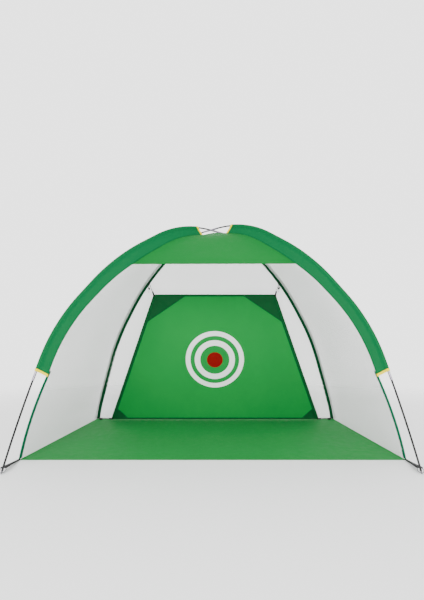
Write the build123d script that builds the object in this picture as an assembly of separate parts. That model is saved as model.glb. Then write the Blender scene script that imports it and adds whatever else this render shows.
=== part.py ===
from build123d import *
import math
import os

# Chipping net: a dome of two crossed shock-corded poles that carries a fabric shell, open at
# the front, with a target cloth tied inside it. Millimetres, +Z up, the front opening faces -Y.
# The origin is the centre of the floor sheet's underside, on the ground.

os.makedirs("parts", exist_ok=True)

# ---- floor and feet
FLOOR_WIDTH = 2000.0
FLOOR_DEPTH = 1000.0
FABRIC = 1.0
FRONT_FOOT = (955.0, -682.0)
REAR_FOOT = (1028.0, 532.0)
FOOT_LIFT = 14.0

# ---- poles: the angle of the pole above the ground follows these cosine waves along it
POLE_SECTIONS = 8
LEAN_WAVES = {1: 76.15, 2: 2.1, 3: -3.6, 4: 0.5, 5: 2.8, 7: -2.7}
LOWER_POLE_EASE = 0.38
POLE_OD = 8.5
POLE_BORE = 5.0
FERRULE_LENGTH = 100.0
FERRULE_OD = 10.5
FERRULE_BORE = 8.6
SHOCK_CORD = 2.8
SHOCK_CORD_KNOT = 2.2
SHOCK_CORD_INSET = 32.0

# ---- foot pins, rings and webbing
PIN_ROD = 4.6
PIN_INSERT = 25.0
PIN_COLLAR = 1.5
EYE_RADIUS = 4.4
EYE_WIRE = 2.6
EYE_HEIGHT = 5.9
RING_RADIUS = 13.4
RING_WIRE = 3.0
RING_PULL = 0.8
RING_SEAT = 5.4
FRONT_RING_TILT = 40.0
REAR_RING_TILT = 15.0
STRAP_WIDTH = 20.0
STRAP_GATHER = 8.0
STRAP_THICK = 1.6
STRAP_GAP = 3.5

# ---- pole sleeves: distances along the pole from its front foot, widths from pole to seam
SLEEVE_LOW = 481.0
SLEEVE_HIGH = 1752.0
SLEEVE_SLANT = 34.0
SLEEVE_WIDTHS = ((0.0, 51.0), (0.35, 55.0), (0.6, 66.0), (0.8, 60.0), (1.0, 44.0))
REAR_SLEEVE_START = 2115.0
REAR_SLEEVE_END = 3660.0
REAR_SLEEVE_WIDTH = 14.0
SLEEVE_BORE = 12.5
SLEEVE_WALL = 1.0
TRIM_LENGTH = 7.0
TRIM_WALL = 1.8
TRIM_GAP = 0.4
CROWN_DROP = 11.0

# ---- fabric panels
VALANCE_HEIGHT = 1051.0
FRONT_EDGE_BULGE = 14.0
REAR_EDGE_BULGE = 3.0
BINDING_RADIUS = 2.5
SEAM_GAP = 4.0
FLOOR_GAP = 1.5
CROWN_GAP = 1.5
PANEL_ROWS = 14
PANEL_COLUMNS = 4
SEAM_STEPS = 60

# ---- target cloth, a flat trapezoid that leans back
TARGET_LOW = (862.0, 445.0, 12.0)
TARGET_HIGH = (455.0, 190.0, 993.0)
TARGET_BINDING = 18.0
BINDING_THICK = 0.8
TOP_PATCH = (230.0, 205.0)
BOTTOM_PATCH = (125.0, 92.0)
PATCH_GAP = 0.3

# ---- ties from the net to the corners of the target
TIE_CORD = 3.0
TOP_TIE_HEIGHT = 1090.0
TOP_LOOP_INSET = (-7.0, -10.0, -5.0)
BOTTOM_LOOP = (980.0, 488.0, 9.0)
LOOP_RADIUS = 4.0
LOOP_WIRE = 2.0
TAB_LENGTH = 22.0
TAB_WIDTH = 12.0
TAB_THICK = 1.6
SMALL_RING_RADIUS = 7.0
SMALL_RING_WIRE = 2.0
SMALL_GAP = 0.5
TAIL_LENGTH = 68.0
TAIL_SWING = 32.0
KNOT_RADIUS = 2.8

# ---- spring cord locks, measured along the barrel from its closed end
LOCK_STATION = 40.0
LOCK_OD = 14.0
LOCK_BORE = 10.2
LOCK_LENGTH = 18.0
LOCK_FLOOR = 2.0
CORD_STATION = 12.5
CORD_HOLE = 5.4
PLUNGER_OD = 10.0
PLUNGER_START = 8.1
PLUNGER_END = 24.0
PLUNGER_SLOT = (10.8, 18.2)
SLOT_WIDTH = 5.0
SPRING_WIRE = 0.6
SPRING_RADIUS = 3.8
SPRING_TURNS = 3.0
SPRING_GAP = 0.1

UP = Vector(0, 0, 1)


def save(shape, name):
    """Write one sub-part."""
    export_step(shape, f"parts/{name}.step")


def group(solids):
    """Several separate solids that share one node."""
    return Compound(children=solids)


def mirrored(point, side):
    """A right-hand point, or its twin on the left where side is -1."""
    return Vector(point[0] * side, point[1], point[2])


def lerp(a, b, t):
    return a + (b - a) * t


def rod(start, end, radius):
    """A round bar between two points."""
    return Solid.make_cylinder(radius, (end - start).length, Plane(start, z_dir=end - start))


def tube(start, end, radius, bore):
    return rod(start, end, radius) - rod(start, end, bore)


def ring(centre, axis, radius, wire):
    return Solid.make_torus(radius, wire / 2, Plane(centre, z_dir=axis))


def plate(corners, thickness, across):
    """A flat plate with the given outline, its thickness centred on it."""
    outline = Face(Wire.make_polygon([c - across * (thickness / 2) for c in corners]))
    return Solid.extrude(outline, across * thickness)


def closed_solid(faces):
    """One solid inside a closed set of flat faces, each given by its corners."""
    return Solid(Shell([Face(Wire.make_polygon(corners)) for corners in faces]))


def sheet(rows, thickness):
    """A thin closed solid through a grid of points, half its thickness on each side."""
    last, end = len(rows) - 1, len(rows[0]) - 1
    front, back = [], []
    for i, row in enumerate(rows):
        for k, point in enumerate(row):
            along = rows[min(i + 1, last)][k] - rows[max(i - 1, 0)][k]
            across = row[min(k + 1, end)] - row[max(k - 1, 0)]
            shift = along.cross(across).normalized() * (thickness / 2)
            front.append(point + shift)
            back.append(point - shift)

    def index(i, k):
        return i * (end + 1) + k

    faces = []
    for i in range(last):
        for k in range(end):
            a, b = index(i, k), index(i, k + 1)
            c, d = index(i + 1, k + 1), index(i + 1, k)
            faces += [(front[a], front[d], front[b]), (front[b], front[d], front[c])]
            faces += [(back[a], back[b], back[d]), (back[b], back[c], back[d])]
    rim = [index(0, k) for k in range(end)]
    rim += [index(i, end) for i in range(last)]
    rim += [index(last, k) for k in range(end, 0, -1)]
    rim += [index(i, 0) for i in range(last, 0, -1)]
    for a, b in zip(rim, rim[1:] + rim[:1]):
        faces += [(front[a], front[b], back[a]), (front[b], back[b], back[a])]
    return closed_solid(faces)


class Pole:
    """A pole bent into an arch: eight sections, curved between straight ferruled joints."""

    def __init__(self, side, ease):
        self.start = Vector(side * FRONT_FOOT[0], FRONT_FOOT[1], FOOT_LIFT)
        end = Vector(-side * REAR_FOOT[0], REAR_FOOT[1], FOOT_LIFT)
        self.across = (end - self.start).normalized()
        self.ease = ease
        self.section = 480.0
        self.tilt = 0.0
        span = (end - self.start).length
        for _ in range(40):
            self.lay_out()
            self.section *= span / self.end_x
            self.tilt -= self.end_z / span
        self.length = self.section * POLE_SECTIONS

    def lean(self, joint):
        """The pole's angle above the ground at a joint, in radians."""
        degrees = sum(
            (angle - (self.ease if wave == 1 else 0)) * math.cos(wave * math.pi * joint / POLE_SECTIONS)
            for wave, angle in LEAN_WAVES.items()
        )
        return math.radians(degrees) + self.tilt

    def lay_out(self):
        """List the pieces: where each starts along the pole and in its plane, and its angles."""
        self.pieces = []
        s = x = z = 0.0
        for k in range(POLE_SECTIONS):
            first = FERRULE_LENGTH / 2 if k > 0 else 0.0
            last = FERRULE_LENGTH / 2 if k < POLE_SECTIONS - 1 else 0.0
            a, b = self.lean(k), self.lean(k + 1)
            for length, low, high in ((first, a, a), (self.section - first - last, a, b), (last, b, b)):
                if length == 0:
                    continue
                self.pieces.append((s, x, z, length, low, high))
                dx, dz = self.step(length, length, low, high)
                s, x, z = s + length, x + dx, z + dz
        self.end_x, self.end_z = x, z

    @staticmethod
    def step(distance, length, low, high):
        """How far a piece goes across and up in a distance along it."""
        if low == high:
            return distance * math.cos(low), distance * math.sin(low)
        turn = (high - low) / length
        angle = low + turn * distance
        return (math.sin(angle) - math.sin(low)) / turn, (math.cos(low) - math.cos(angle)) / turn

    def piece_at(self, s):
        return [p for p in self.pieces if p[0] <= max(s, 0.0) + 1e-9][-1]

    def point(self, s):
        begin, x, z, length, low, high = self.piece_at(s)
        dx, dz = self.step(s - begin, length, low, high)
        return self.start + self.across * (x + dx) + UP * (z + dz)

    def angle(self, s):
        begin, _, _, length, low, high = self.piece_at(s)
        return low + (high - low) * (s - begin) / length

    def along(self, s):
        return self.across * math.cos(self.angle(s)) + UP * math.sin(self.angle(s))

    def inward(self, s):
        """The direction in the pole's plane towards the inside of the arch."""
        return self.across * math.sin(self.angle(s)) - UP * math.cos(self.angle(s))

    def path(self, s1, s2):
        """The centreline from one distance along the pole to another."""
        edges = []
        for begin, _, _, length, low, high in self.pieces:
            a, b = max(begin, s1), min(begin + length, s2)
            if b - a < 1e-6:
                continue
            if low == high:
                edges.append(Edge.make_line(self.point(a), self.point(b)))
            else:
                edges.append(Edge.make_three_point_arc(self.point(a), self.point((a + b) / 2), self.point(b)))
        return Wire(edges)

    def round_bar(self, s1, s2, radius):
        """A solid round bar along the pole."""
        section = Plane(self.point(s1), z_dir=self.along(s1)) * Circle(radius)
        return sweep(section, path=self.path(s1, s2)).solid()


def crossing(pole):
    """How far along a pole it passes the middle of the net."""
    low, high = 0.0, pole.length
    side = 1 if pole.start.X > 0 else -1
    for _ in range(60):
        middle = (low + high) / 2
        low, high = (middle, high) if pole.point(middle).X * side > 0 else (low, middle)
    return low


POLE_A = Pole(1, 0.0)
POLE_B = Pole(-1, LOWER_POLE_EASE)
CROWN = POLE_B.point(crossing(POLE_B)) - UP * CROWN_DROP


# ---- poles

def pole_section(pole, k):
    """One glass-fibre tube of the pole."""
    s1, s2 = k * pole.section, (k + 1) * pole.section
    return pole.round_bar(s1, s2, POLE_OD / 2) - pole.round_bar(s1, s2, POLE_BORE / 2)


def ferrules(pole):
    """The metal sleeves over the joints between the sections."""
    solids = []
    for k in range(1, POLE_SECTIONS):
        s = k * pole.section
        low, high = pole.point(s - FERRULE_LENGTH / 2), pole.point(s + FERRULE_LENGTH / 2)
        solids.append(tube(low, high, FERRULE_OD / 2, FERRULE_BORE / 2))
    return group(solids)


def shock_cord(pole):
    """The elastic cord inside the whole pole, knotted at both ends."""
    s1, s2 = SHOCK_CORD_INSET, pole.length - SHOCK_CORD_INSET
    cord = pole.round_bar(s1, s2, SHOCK_CORD / 2)
    for s in (s1, s2):
        cord += Solid.make_sphere(SHOCK_CORD_KNOT, Plane(pole.point(s)))
    return cord.solid()


# ---- feet: pin in the pole's end, ring in the pin's eye, webbing from ring to floor corner

class Foot:
    """The places of the parts at one foot of a pole."""

    def __init__(self, pole, at_front):
        s = 0.0 if at_front else pole.length
        self.pole_end = pole.point(s)
        self.up_pole = pole.along(s) if at_front else pole.along(s) * -1
        side = 1 if self.pole_end.X > 0 else -1
        end = -1 if at_front else 1
        self.corner = Vector(side * FLOOR_WIDTH / 2, end * FLOOR_DEPTH / 2, 0)
        self.eye = self.pole_end - self.up_pole * ((FOOT_LIFT - EYE_HEIGHT) / self.up_pole.Z)
        level = self.corner - self.eye
        self.pull = Vector(level.X, level.Y, 0).normalized()
        tilt = math.radians(FRONT_RING_TILT if at_front else REAR_RING_TILT)
        self.ring_lie = self.pull * math.cos(tilt) + UP * math.sin(tilt)
        seat = Vector(self.eye.X, self.eye.Y, RING_SEAT) + self.pull * RING_PULL
        self.ring_centre = seat + self.ring_lie * RING_RADIUS
        self.ring_axis = self.ring_lie.cross(self.pull.cross(UP)).normalized()


def foot_pin(foot):
    """A rod in the pole's bore, a collar under the pole and an eye for the ring."""
    low = foot.pole_end
    pin = rod(foot.eye + foot.up_pole * EYE_RADIUS, low + foot.up_pole * PIN_INSERT, PIN_ROD / 2)
    pin += rod(low - foot.up_pole * PIN_COLLAR, low, POLE_OD / 2)
    pin += ring(foot.eye, foot.up_pole.cross(foot.pull), EYE_RADIUS, EYE_WIRE)
    return pin.solid()


def foot_ring(foot):
    return ring(foot.ring_centre, foot.ring_axis, RING_RADIUS, RING_WIRE)


def corner_strap(foot):
    """Webbing from the floor's corner, gathered there, to the ring."""
    reach = RING_RADIUS + RING_WIRE / 2 + 2 * SMALL_GAP
    top = foot.ring_centre + foot.ring_lie * reach
    bottom = foot.corner - foot.pull * STRAP_GAP + UP * (STRAP_THICK / 2 + SMALL_GAP)
    side = foot.pull.cross(UP)
    lift = side.cross(bottom - top).normalized()
    lift = lift if lift.Z > 0 else lift * -1
    rims = []
    for centre, width in ((top, STRAP_WIDTH), (bottom, STRAP_GATHER)):
        u, v = side * (width / 2), lift * (STRAP_THICK / 2)
        rims.append([centre - u - v, centre + u - v, centre + u + v, centre - u + v])
    first, second = rims
    faces = [first, second[::-1]]
    for k in range(4):
        n = (k + 1) % 4
        faces.append([first[n], first[k], second[k], second[n]])
    return closed_solid(faces)


# ---- sleeves and seams

def widths(steps, t):
    """Straight-line interpolation in a list of (position, width)."""
    for (t1, w1), (t2, w2) in zip(steps, steps[1:]):
        if t <= t2:
            return w1 + (w2 - w1) * (t - t1) / (t2 - t1)
    return steps[-1][1]


def seam_point(pole, s, s1, s2, steps):
    """A point on the sleeve's inner seam."""
    t = (s - s1) / (s2 - s1)
    return pole.point(s) + pole.inward(s) * widths(steps, t)


def front_seam_point(pole, s):
    return seam_point(pole, s, SLEEVE_LOW, SLEEVE_HIGH + SLEEVE_SLANT, SLEEVE_WIDTHS)


def rear_seam_point(pole, s):
    return pole.point(s) + pole.inward(s) * REAR_SLEEVE_WIDTH


def bulged(a, b, out, bulge, steps):
    """A gently bulging curve from a to b."""
    return [lerp(a, b, t / steps) + out * (4 * bulge * t / steps * (1 - t / steps)) for t in range(steps + 1)]


def seam_stations(s1, s2):
    return [s1 + (s2 - s1) * k / SEAM_STEPS for k in range(SEAM_STEPS + 1)]


def front_seam(pole):
    """The front seam, from the floor's corner up to the crown."""
    side = 1 if pole.start.X > 0 else -1
    corner = Vector(side * FLOOR_WIDTH / 2, -FLOOR_DEPTH / 2, FABRIC)
    upper = [front_seam_point(pole, s) for s in seam_stations(SLEEVE_LOW, SLEEVE_HIGH + SLEEVE_SLANT)]
    lower = bulged(corner, upper[0], Vector(side, 0, 0), FRONT_EDGE_BULGE, SEAM_STEPS // 4)
    return lower[:-1] + upper + [CROWN]


def rear_seam(pole):
    """The rear seam, from the floor's corner up to the crown."""
    side = -1 if pole.start.X > 0 else 1
    corner = Vector(side * FLOOR_WIDTH / 2, FLOOR_DEPTH / 2, FABRIC)
    upper = [rear_seam_point(pole, s) for s in seam_stations(REAR_SLEEVE_END, REAR_SLEEVE_START)]
    lower = bulged(corner, upper[0], Vector(side, 0, 0), REAR_EDGE_BULGE, SEAM_STEPS // 4)
    return lower[:-1] + upper + [CROWN]


def at_height(seam, z):
    """The point of a seam at a height."""
    for a, b in zip(seam, seam[1:]):
        if a.Z <= z <= b.Z:
            return lerp(a, b, (z - a.Z) / (b.Z - a.Z))
    return seam[-1] if z > seam[-1].Z else seam[0]


def sleeve(pole, s1, s2, inner, wall, thickness):
    """Fabric round the pole from s1 to s2, with a flat band in to the seam points."""
    outer = pole.round_bar(s1, s2, SLEEVE_BORE / 2 + wall)
    across = pole.across.cross(UP)
    shift = across * (thickness / 2)
    edges = [Edge.make_line(a, b) for a, b in zip(inner, inner[1:])]
    edges += [Edge.make_line(inner[-1], pole.point(s2)), Edge.make_line(pole.point(s1), inner[0])]
    outline = Face(Wire(pole.path(s1, s2).edges() + edges))
    band = Solid.extrude(outline.moved(Location(-shift)), across * thickness)
    margin = SLEEVE_SLANT + TRIM_LENGTH
    bore = pole.round_bar(s1 - margin, s2 + margin, SLEEVE_BORE / 2)
    return (band + outer - bore).solid()


def front_sleeve(pole):
    stations = seam_stations(SLEEVE_LOW, SLEEVE_HIGH + SLEEVE_SLANT)[::5]
    inner = [front_seam_point(pole, s) for s in stations]
    return sleeve(pole, SLEEVE_LOW, SLEEVE_HIGH, inner, SLEEVE_WALL, FABRIC)


def rear_sleeve(pole):
    stations = seam_stations(REAR_SLEEVE_START, REAR_SLEEVE_END)[::5]
    inner = [rear_seam_point(pole, s) for s in stations]
    return sleeve(pole, REAR_SLEEVE_START, REAR_SLEEVE_END, inner, SLEEVE_WALL, FABRIC)


def sleeve_trims(pole):
    """The tapes that finish the two ends of a front sleeve."""
    low = SLEEVE_LOW - TRIM_GAP
    first = front_seam_point(pole, SLEEVE_LOW) - pole.along(SLEEVE_LOW) * TRIM_GAP
    lower_ends = [first - pole.along(low) * TRIM_LENGTH, first]
    high = SLEEVE_HIGH + TRIM_GAP
    last = front_seam_point(pole, SLEEVE_HIGH + SLEEVE_SLANT) + pole.along(high) * TRIM_GAP
    upper_ends = [last, last + pole.along(high) * TRIM_LENGTH]
    lower = sleeve(pole, low - TRIM_LENGTH, low, lower_ends, TRIM_WALL, TRIM_WALL)
    upper = sleeve(pole, high, high + TRIM_LENGTH, upper_ends, TRIM_WALL, TRIM_WALL)
    return [lower, (upper - front_sleeve(pole)).solid()]


def edge_binding(seam, top):
    """The bound free edge of a panel below its sleeve."""
    a = at_height(seam, BINDING_RADIUS + FABRIC + SMALL_GAP)
    c = top - UP * (BINDING_RADIUS + TRIM_LENGTH + TRIM_GAP + SMALL_GAP)
    b = at_height(seam, (a.Z + c.Z) / 2)
    c = at_height(seam, c.Z)
    path = Wire([Edge.make_three_point_arc(a, b, c)])
    section = Plane(a, z_dir=path % 0) * Circle(BINDING_RADIUS)
    return sweep(section, path=path).solid()


# ---- fabric panels

def ruled_panel(first, second, bottom, top, inset=SEAM_GAP):
    """A panel of level rulings stretched between two seams."""
    rows = []
    for i in range(PANEL_ROWS + 1):
        t = math.sin(math.pi / 2 * i / PANEL_ROWS)
        z = bottom + (top - bottom) * t
        a, b = at_height(first, z), at_height(second, z)
        edge = inset / (b - a).length
        rows.append([lerp(a, b, edge + (1 - 2 * edge) * k / PANEL_COLUMNS) for k in range(PANEL_COLUMNS + 1)])
    return sheet(rows, FABRIC)


# ---- target

def target_frame():
    """The cloth's own directions: across, up its slope, and forward out of its face."""
    low = Vector(0, TARGET_LOW[1], TARGET_LOW[2])
    high = Vector(0, TARGET_HIGH[1], TARGET_HIGH[2])
    slope = (high - low).normalized()
    return low, (high - low).length, slope, slope.cross(Vector(1, 0, 0)) * -1


def on_target(x, up, lift=0.0):
    low, _, slope, face = target_frame()
    return low + Vector(x, 0, 0) + slope * up + face * lift


def trapezoid(inset):
    """The four corners of the cloth, moved in from its edges."""
    _, height, _, _ = target_frame()
    taper = (TARGET_LOW[0] - TARGET_HIGH[0]) / height
    side_inset = inset * math.sqrt(1 + taper * taper)
    low = TARGET_LOW[0] - taper * inset - side_inset
    high = TARGET_HIGH[0] + taper * inset - side_inset
    return [(-low, inset), (low, inset), (high, height - inset), (-high, height - inset)]


def target_plate(corners, start, thickness):
    """A flat piece of the target, from start to start + thickness out of its face."""
    _, _, _, face = target_frame()
    return plate([on_target(x, up, start + thickness / 2) for x, up in corners], thickness, face)


def target_patches():
    """The triangular patches in the corners of the cloth, inside its binding."""
    low_left, low_right, high_right, high_left = trapezoid(TARGET_BINDING + PATCH_GAP)
    patches = []
    for here, side_end, level_end, (run, rise) in (
        (low_left, high_left, low_right, BOTTOM_PATCH),
        (low_right, high_right, low_left, BOTTOM_PATCH),
        (high_right, low_right, high_left, TOP_PATCH),
        (high_left, low_left, high_right, TOP_PATCH),
    ):
        t = rise / abs(side_end[1] - here[1])
        u = run / abs(level_end[0] - here[0])
        side = (here[0] + (side_end[0] - here[0]) * t, here[1] + (side_end[1] - here[1]) * t)
        level = (here[0] + (level_end[0] - here[0]) * u, here[1])
        patches.append(target_plate([here, side, level], FABRIC / 2, BINDING_THICK))
    return group(patches)


# ---- ties

class Tie:
    """The places of the parts that hold one corner of the target."""

    def __init__(self, side, at_top, seam):
        corner = TARGET_HIGH if at_top else TARGET_LOW
        self.corner = mirrored(corner, side)
        top_loop = at_height(seam, TOP_TIE_HEIGHT) + mirrored(TOP_LOOP_INSET, side)
        self.loop = top_loop if at_top else mirrored(BOTTOM_LOOP, side)
        self.line = (self.loop - self.corner).normalized()
        flat = Vector(-self.line.X, -self.line.Y, 0).normalized()
        self.tail_way = UP * -1 if at_top else flat.rotate(Axis.Z, TAIL_SWING * side)
        self.barrel = Vector(0, -1, 0) if at_top else self.tail_way.rotate(Axis.Z, 90 * side)
        self.tab_end = self.corner + self.line * TAB_LENGTH
        self.small_ring = self.tab_end + self.line * (SMALL_RING_RADIUS + SMALL_RING_WIRE / 2 + SMALL_GAP)
        self.cord_low = self.small_ring + self.line * (SMALL_RING_RADIUS + SMALL_RING_WIRE / 2 + SMALL_GAP)
        reach = LOOP_RADIUS + LOOP_WIRE / 2 + SMALL_GAP
        self.cord_high = self.loop - self.line * reach
        self.tail_start = self.loop + self.tail_way * reach
        self.tail_end = self.tail_start + self.tail_way * TAIL_LENGTH
        self.lock = self.tail_start + self.tail_way * LOCK_STATION - self.barrel * CORD_STATION


def net_loop(tie):
    """The sewn loop on the net that a tie cord hangs on."""
    return ring(tie.loop, Vector(0, 0, 1).cross(tie.line), LOOP_RADIUS, LOOP_WIRE)


def tie_cord(tie):
    """The elastic cord: one strand to the ring, and a tail with a knot that the lock sits on."""
    strand = rod(tie.cord_low, tie.cord_high, TIE_CORD / 2)
    tail = rod(tie.tail_start, tie.tail_end, TIE_CORD / 2)
    tail += Solid.make_sphere(KNOT_RADIUS, Plane(tie.tail_end))
    return group([strand, tail.solid()])


def target_tab(tie):
    """The webbing tab sewn to a corner of the target."""
    _, _, _, face = target_frame()
    side = tie.line.cross(face).normalized() * (TAB_WIDTH / 2)
    across = side.cross(tie.line).normalized()
    start = tie.corner + tie.line * SMALL_GAP * 2
    corners = [start - side, start + side, tie.tab_end + side, tie.tab_end - side]
    return plate(corners, TAB_THICK, across)


def tab_ring(tie):
    _, _, _, face = target_frame()
    return ring(tie.small_ring, tie.line.cross(face).cross(tie.line), SMALL_RING_RADIUS, SMALL_RING_WIRE)


def lock_point(tie, distance):
    return tie.lock + tie.barrel * distance


def cord_through(tie, radius):
    """A round cut along the tail where it passes the lock."""
    centre = lock_point(tie, CORD_STATION)
    return rod(centre - tie.tail_way * LOCK_OD, centre + tie.tail_way * LOCK_OD, radius)


def lock_body(tie):
    """The barrel of a spring cord lock."""
    barrel = rod(tie.lock, lock_point(tie, LOCK_LENGTH), LOCK_OD / 2)
    barrel -= rod(lock_point(tie, LOCK_FLOOR), lock_point(tie, LOCK_LENGTH + 1), LOCK_BORE / 2)
    return (barrel - cord_through(tie, CORD_HOLE / 2)).solid()


def lock_plunger(tie):
    """The button that slides in the barrel, slotted for the cord."""
    plunger = rod(lock_point(tie, PLUNGER_START), lock_point(tie, PLUNGER_END), PLUNGER_OD / 2)
    low, high = PLUNGER_SLOT
    side = tie.barrel.cross(tie.tail_way).normalized() * (SLOT_WIDTH / 2)
    corners = [lock_point(tie, d) + side * sign for d, sign in ((low, -1), (low, 1), (high, 1), (high, -1))]
    return (plunger - plate(corners, LOCK_OD, tie.tail_way)).solid()


def lock_spring(tie):
    """The coil spring under the plunger."""
    height = PLUNGER_START - LOCK_FLOOR - SPRING_WIRE - 2 * SPRING_GAP
    coil = Wire([Edge.make_helix(height / SPRING_TURNS, height, SPRING_RADIUS)])
    section = Plane(coil @ 0, z_dir=coil % 0) * Circle(SPRING_WIRE / 2)
    spring = sweep(section, path=coil, is_frenet=True).solid()
    base = lock_point(tie, LOCK_FLOOR + SPRING_WIRE / 2 + SPRING_GAP)
    return spring.moved(Plane(base, z_dir=tie.barrel).location)


# ---- write every sub-part

for name, pole in (("a", POLE_A), ("b", POLE_B)):
    for k in range(POLE_SECTIONS):
        save(pole_section(pole, k), f"pole_{name}_section_{k + 1}")
    save(ferrules(pole), f"pole_{name}_ferrules")
    save(shock_cord(pole), f"pole_{name}_shock_cord")

FEET = {
    "front_right": Foot(POLE_A, True),
    "front_left": Foot(POLE_B, True),
    "rear_left": Foot(POLE_A, False),
    "rear_right": Foot(POLE_B, False),
}
save(group([foot_pin(f) for f in FEET.values()]), "foot_pins")
save(group([foot_ring(f) for f in FEET.values()]), "foot_rings")
for name, foot in FEET.items():
    save(corner_strap(foot), f"corner_strap_{name}")

FRONT_RIGHT, REAR_LEFT = front_seam(POLE_A), rear_seam(POLE_A)
FRONT_LEFT, REAR_RIGHT = front_seam(POLE_B), rear_seam(POLE_B)
PANEL_BOTTOM = FABRIC + FLOOR_GAP
PANEL_TOP = CROWN.Z - CROWN_GAP

floor_sheet = Box(FLOOR_WIDTH, FLOOR_DEPTH, FABRIC).moved(Location((0, 0, FABRIC / 2)))
save(floor_sheet, "floor_sheet")
save(ruled_panel(FRONT_LEFT, REAR_LEFT, PANEL_BOTTOM, PANEL_TOP), "side_mesh_left")
save(ruled_panel(FRONT_RIGHT, REAR_RIGHT, PANEL_BOTTOM, PANEL_TOP), "side_mesh_right")
save(ruled_panel(REAR_LEFT, REAR_RIGHT, PANEL_BOTTOM, PANEL_TOP), "rear_mesh")
save(ruled_panel(FRONT_LEFT, FRONT_RIGHT, VALANCE_HEIGHT, PANEL_TOP), "front_valance")

save(front_sleeve(POLE_B), "front_sleeve_left")
save(front_sleeve(POLE_A), "front_sleeve_right")
save(rear_sleeve(POLE_A), "rear_sleeve_left")
save(rear_sleeve(POLE_B), "rear_sleeve_right")
save(group(sleeve_trims(POLE_A) + sleeve_trims(POLE_B)), "sleeve_trims")

for name, front, front_pole, rear, rear_pole in (
    ("left", FRONT_LEFT, POLE_B, REAR_LEFT, POLE_A),
    ("right", FRONT_RIGHT, POLE_A, REAR_RIGHT, POLE_B),
):
    bindings = [
        edge_binding(front, front_seam_point(front_pole, SLEEVE_LOW)),
        edge_binding(rear, rear_seam_point(rear_pole, REAR_SLEEVE_END)),
    ]
    save(group(bindings), f"edge_binding_{name}")

save(target_plate(trapezoid(0), -FABRIC / 2, FABRIC), "target_cloth")
frame_plate = target_plate(trapezoid(0), FABRIC / 2, BINDING_THICK)
frame_hole = target_plate(trapezoid(TARGET_BINDING), 0, BINDING_THICK * 3)
save((frame_plate - frame_hole).solid(), "target_binding")
save(target_patches(), "target_corner_patches")

TIES = {
    "top_left": Tie(-1, True, REAR_LEFT),
    "top_right": Tie(1, True, REAR_RIGHT),
    "bottom_left": Tie(-1, False, REAR_LEFT),
    "bottom_right": Tie(1, False, REAR_RIGHT),
}
save(group([net_loop(t) for t in TIES.values()]), "net_tie_loops")
save(group([target_tab(t) for t in TIES.values()]), "target_tabs")
save(group([tab_ring(t) for t in TIES.values()]), "target_tab_rings")
for name, tie in TIES.items():
    save(tie_cord(tie), f"tie_cord_{name}")
    save(lock_body(tie), f"cord_lock_{name}")
    save(lock_plunger(tie), f"lock_plunger_{name}")
    save(lock_spring(tie), f"lock_spring_{name}")
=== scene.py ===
import math
from bisect import bisect_left

import bpy
from mathutils import Matrix, Vector, noise


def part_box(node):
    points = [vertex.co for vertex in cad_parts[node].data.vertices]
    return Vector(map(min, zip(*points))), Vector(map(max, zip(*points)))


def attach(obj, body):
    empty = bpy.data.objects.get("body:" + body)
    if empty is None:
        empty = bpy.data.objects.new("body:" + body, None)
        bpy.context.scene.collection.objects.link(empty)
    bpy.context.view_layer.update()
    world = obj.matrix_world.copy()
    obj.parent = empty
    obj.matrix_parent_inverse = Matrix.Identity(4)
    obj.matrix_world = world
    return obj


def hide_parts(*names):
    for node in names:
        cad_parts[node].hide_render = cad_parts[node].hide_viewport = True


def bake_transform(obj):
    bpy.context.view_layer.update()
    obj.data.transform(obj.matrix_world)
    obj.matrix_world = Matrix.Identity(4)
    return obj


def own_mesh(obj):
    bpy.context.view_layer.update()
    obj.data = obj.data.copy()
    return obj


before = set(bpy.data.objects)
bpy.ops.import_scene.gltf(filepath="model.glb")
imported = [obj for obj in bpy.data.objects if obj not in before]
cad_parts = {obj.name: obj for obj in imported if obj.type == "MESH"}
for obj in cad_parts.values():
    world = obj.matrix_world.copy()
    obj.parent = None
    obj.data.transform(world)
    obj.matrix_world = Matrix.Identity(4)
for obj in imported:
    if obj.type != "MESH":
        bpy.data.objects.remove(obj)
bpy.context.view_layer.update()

# Metres, +Z up, the front opening faces -Y, and the origin is under the floor sheet's centre.

UP = Vector((0, 0, 1))

# ---- floor and feet; STRAP_BOX is where the box of stitches starts and ends, back from the ring
_, floor_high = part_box("floor_sheet")
FLOOR_HALF = Vector((floor_high.x, floor_high.y, 0))
FABRIC = floor_high.z
FRONT_FOOT = (0.955, -0.682)
REAR_FOOT = (1.028, 0.532)
FOOT_LIFT = 0.014
EYE_HEIGHT = 0.0059
RING_RADIUS = 0.0134
RING_WIRE = 0.003
RING_PULL = 0.0008
RING_SEAT = 0.0054
FRONT_RING_TILT = math.radians(40)
REAR_RING_TILT = math.radians(15)
STRAP_WIDTH = 0.025
STRAP_GATHER = 0.012
STRAP_RISE = 0.0028
STRAP_BOX = (0.030, 0.014)
GATHER_CURL = 0.19

# ---- poles: the angle of the pole above the ground follows these cosine waves along it
POLE_SECTIONS = 8
LEAN_WAVES = {1: 76.15, 2: 2.1, 3: -3.6, 4: 0.5, 5: 2.8, 7: -2.7}
LOWER_POLE_EASE = 0.38
FERRULE_LENGTH = 0.100

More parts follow.
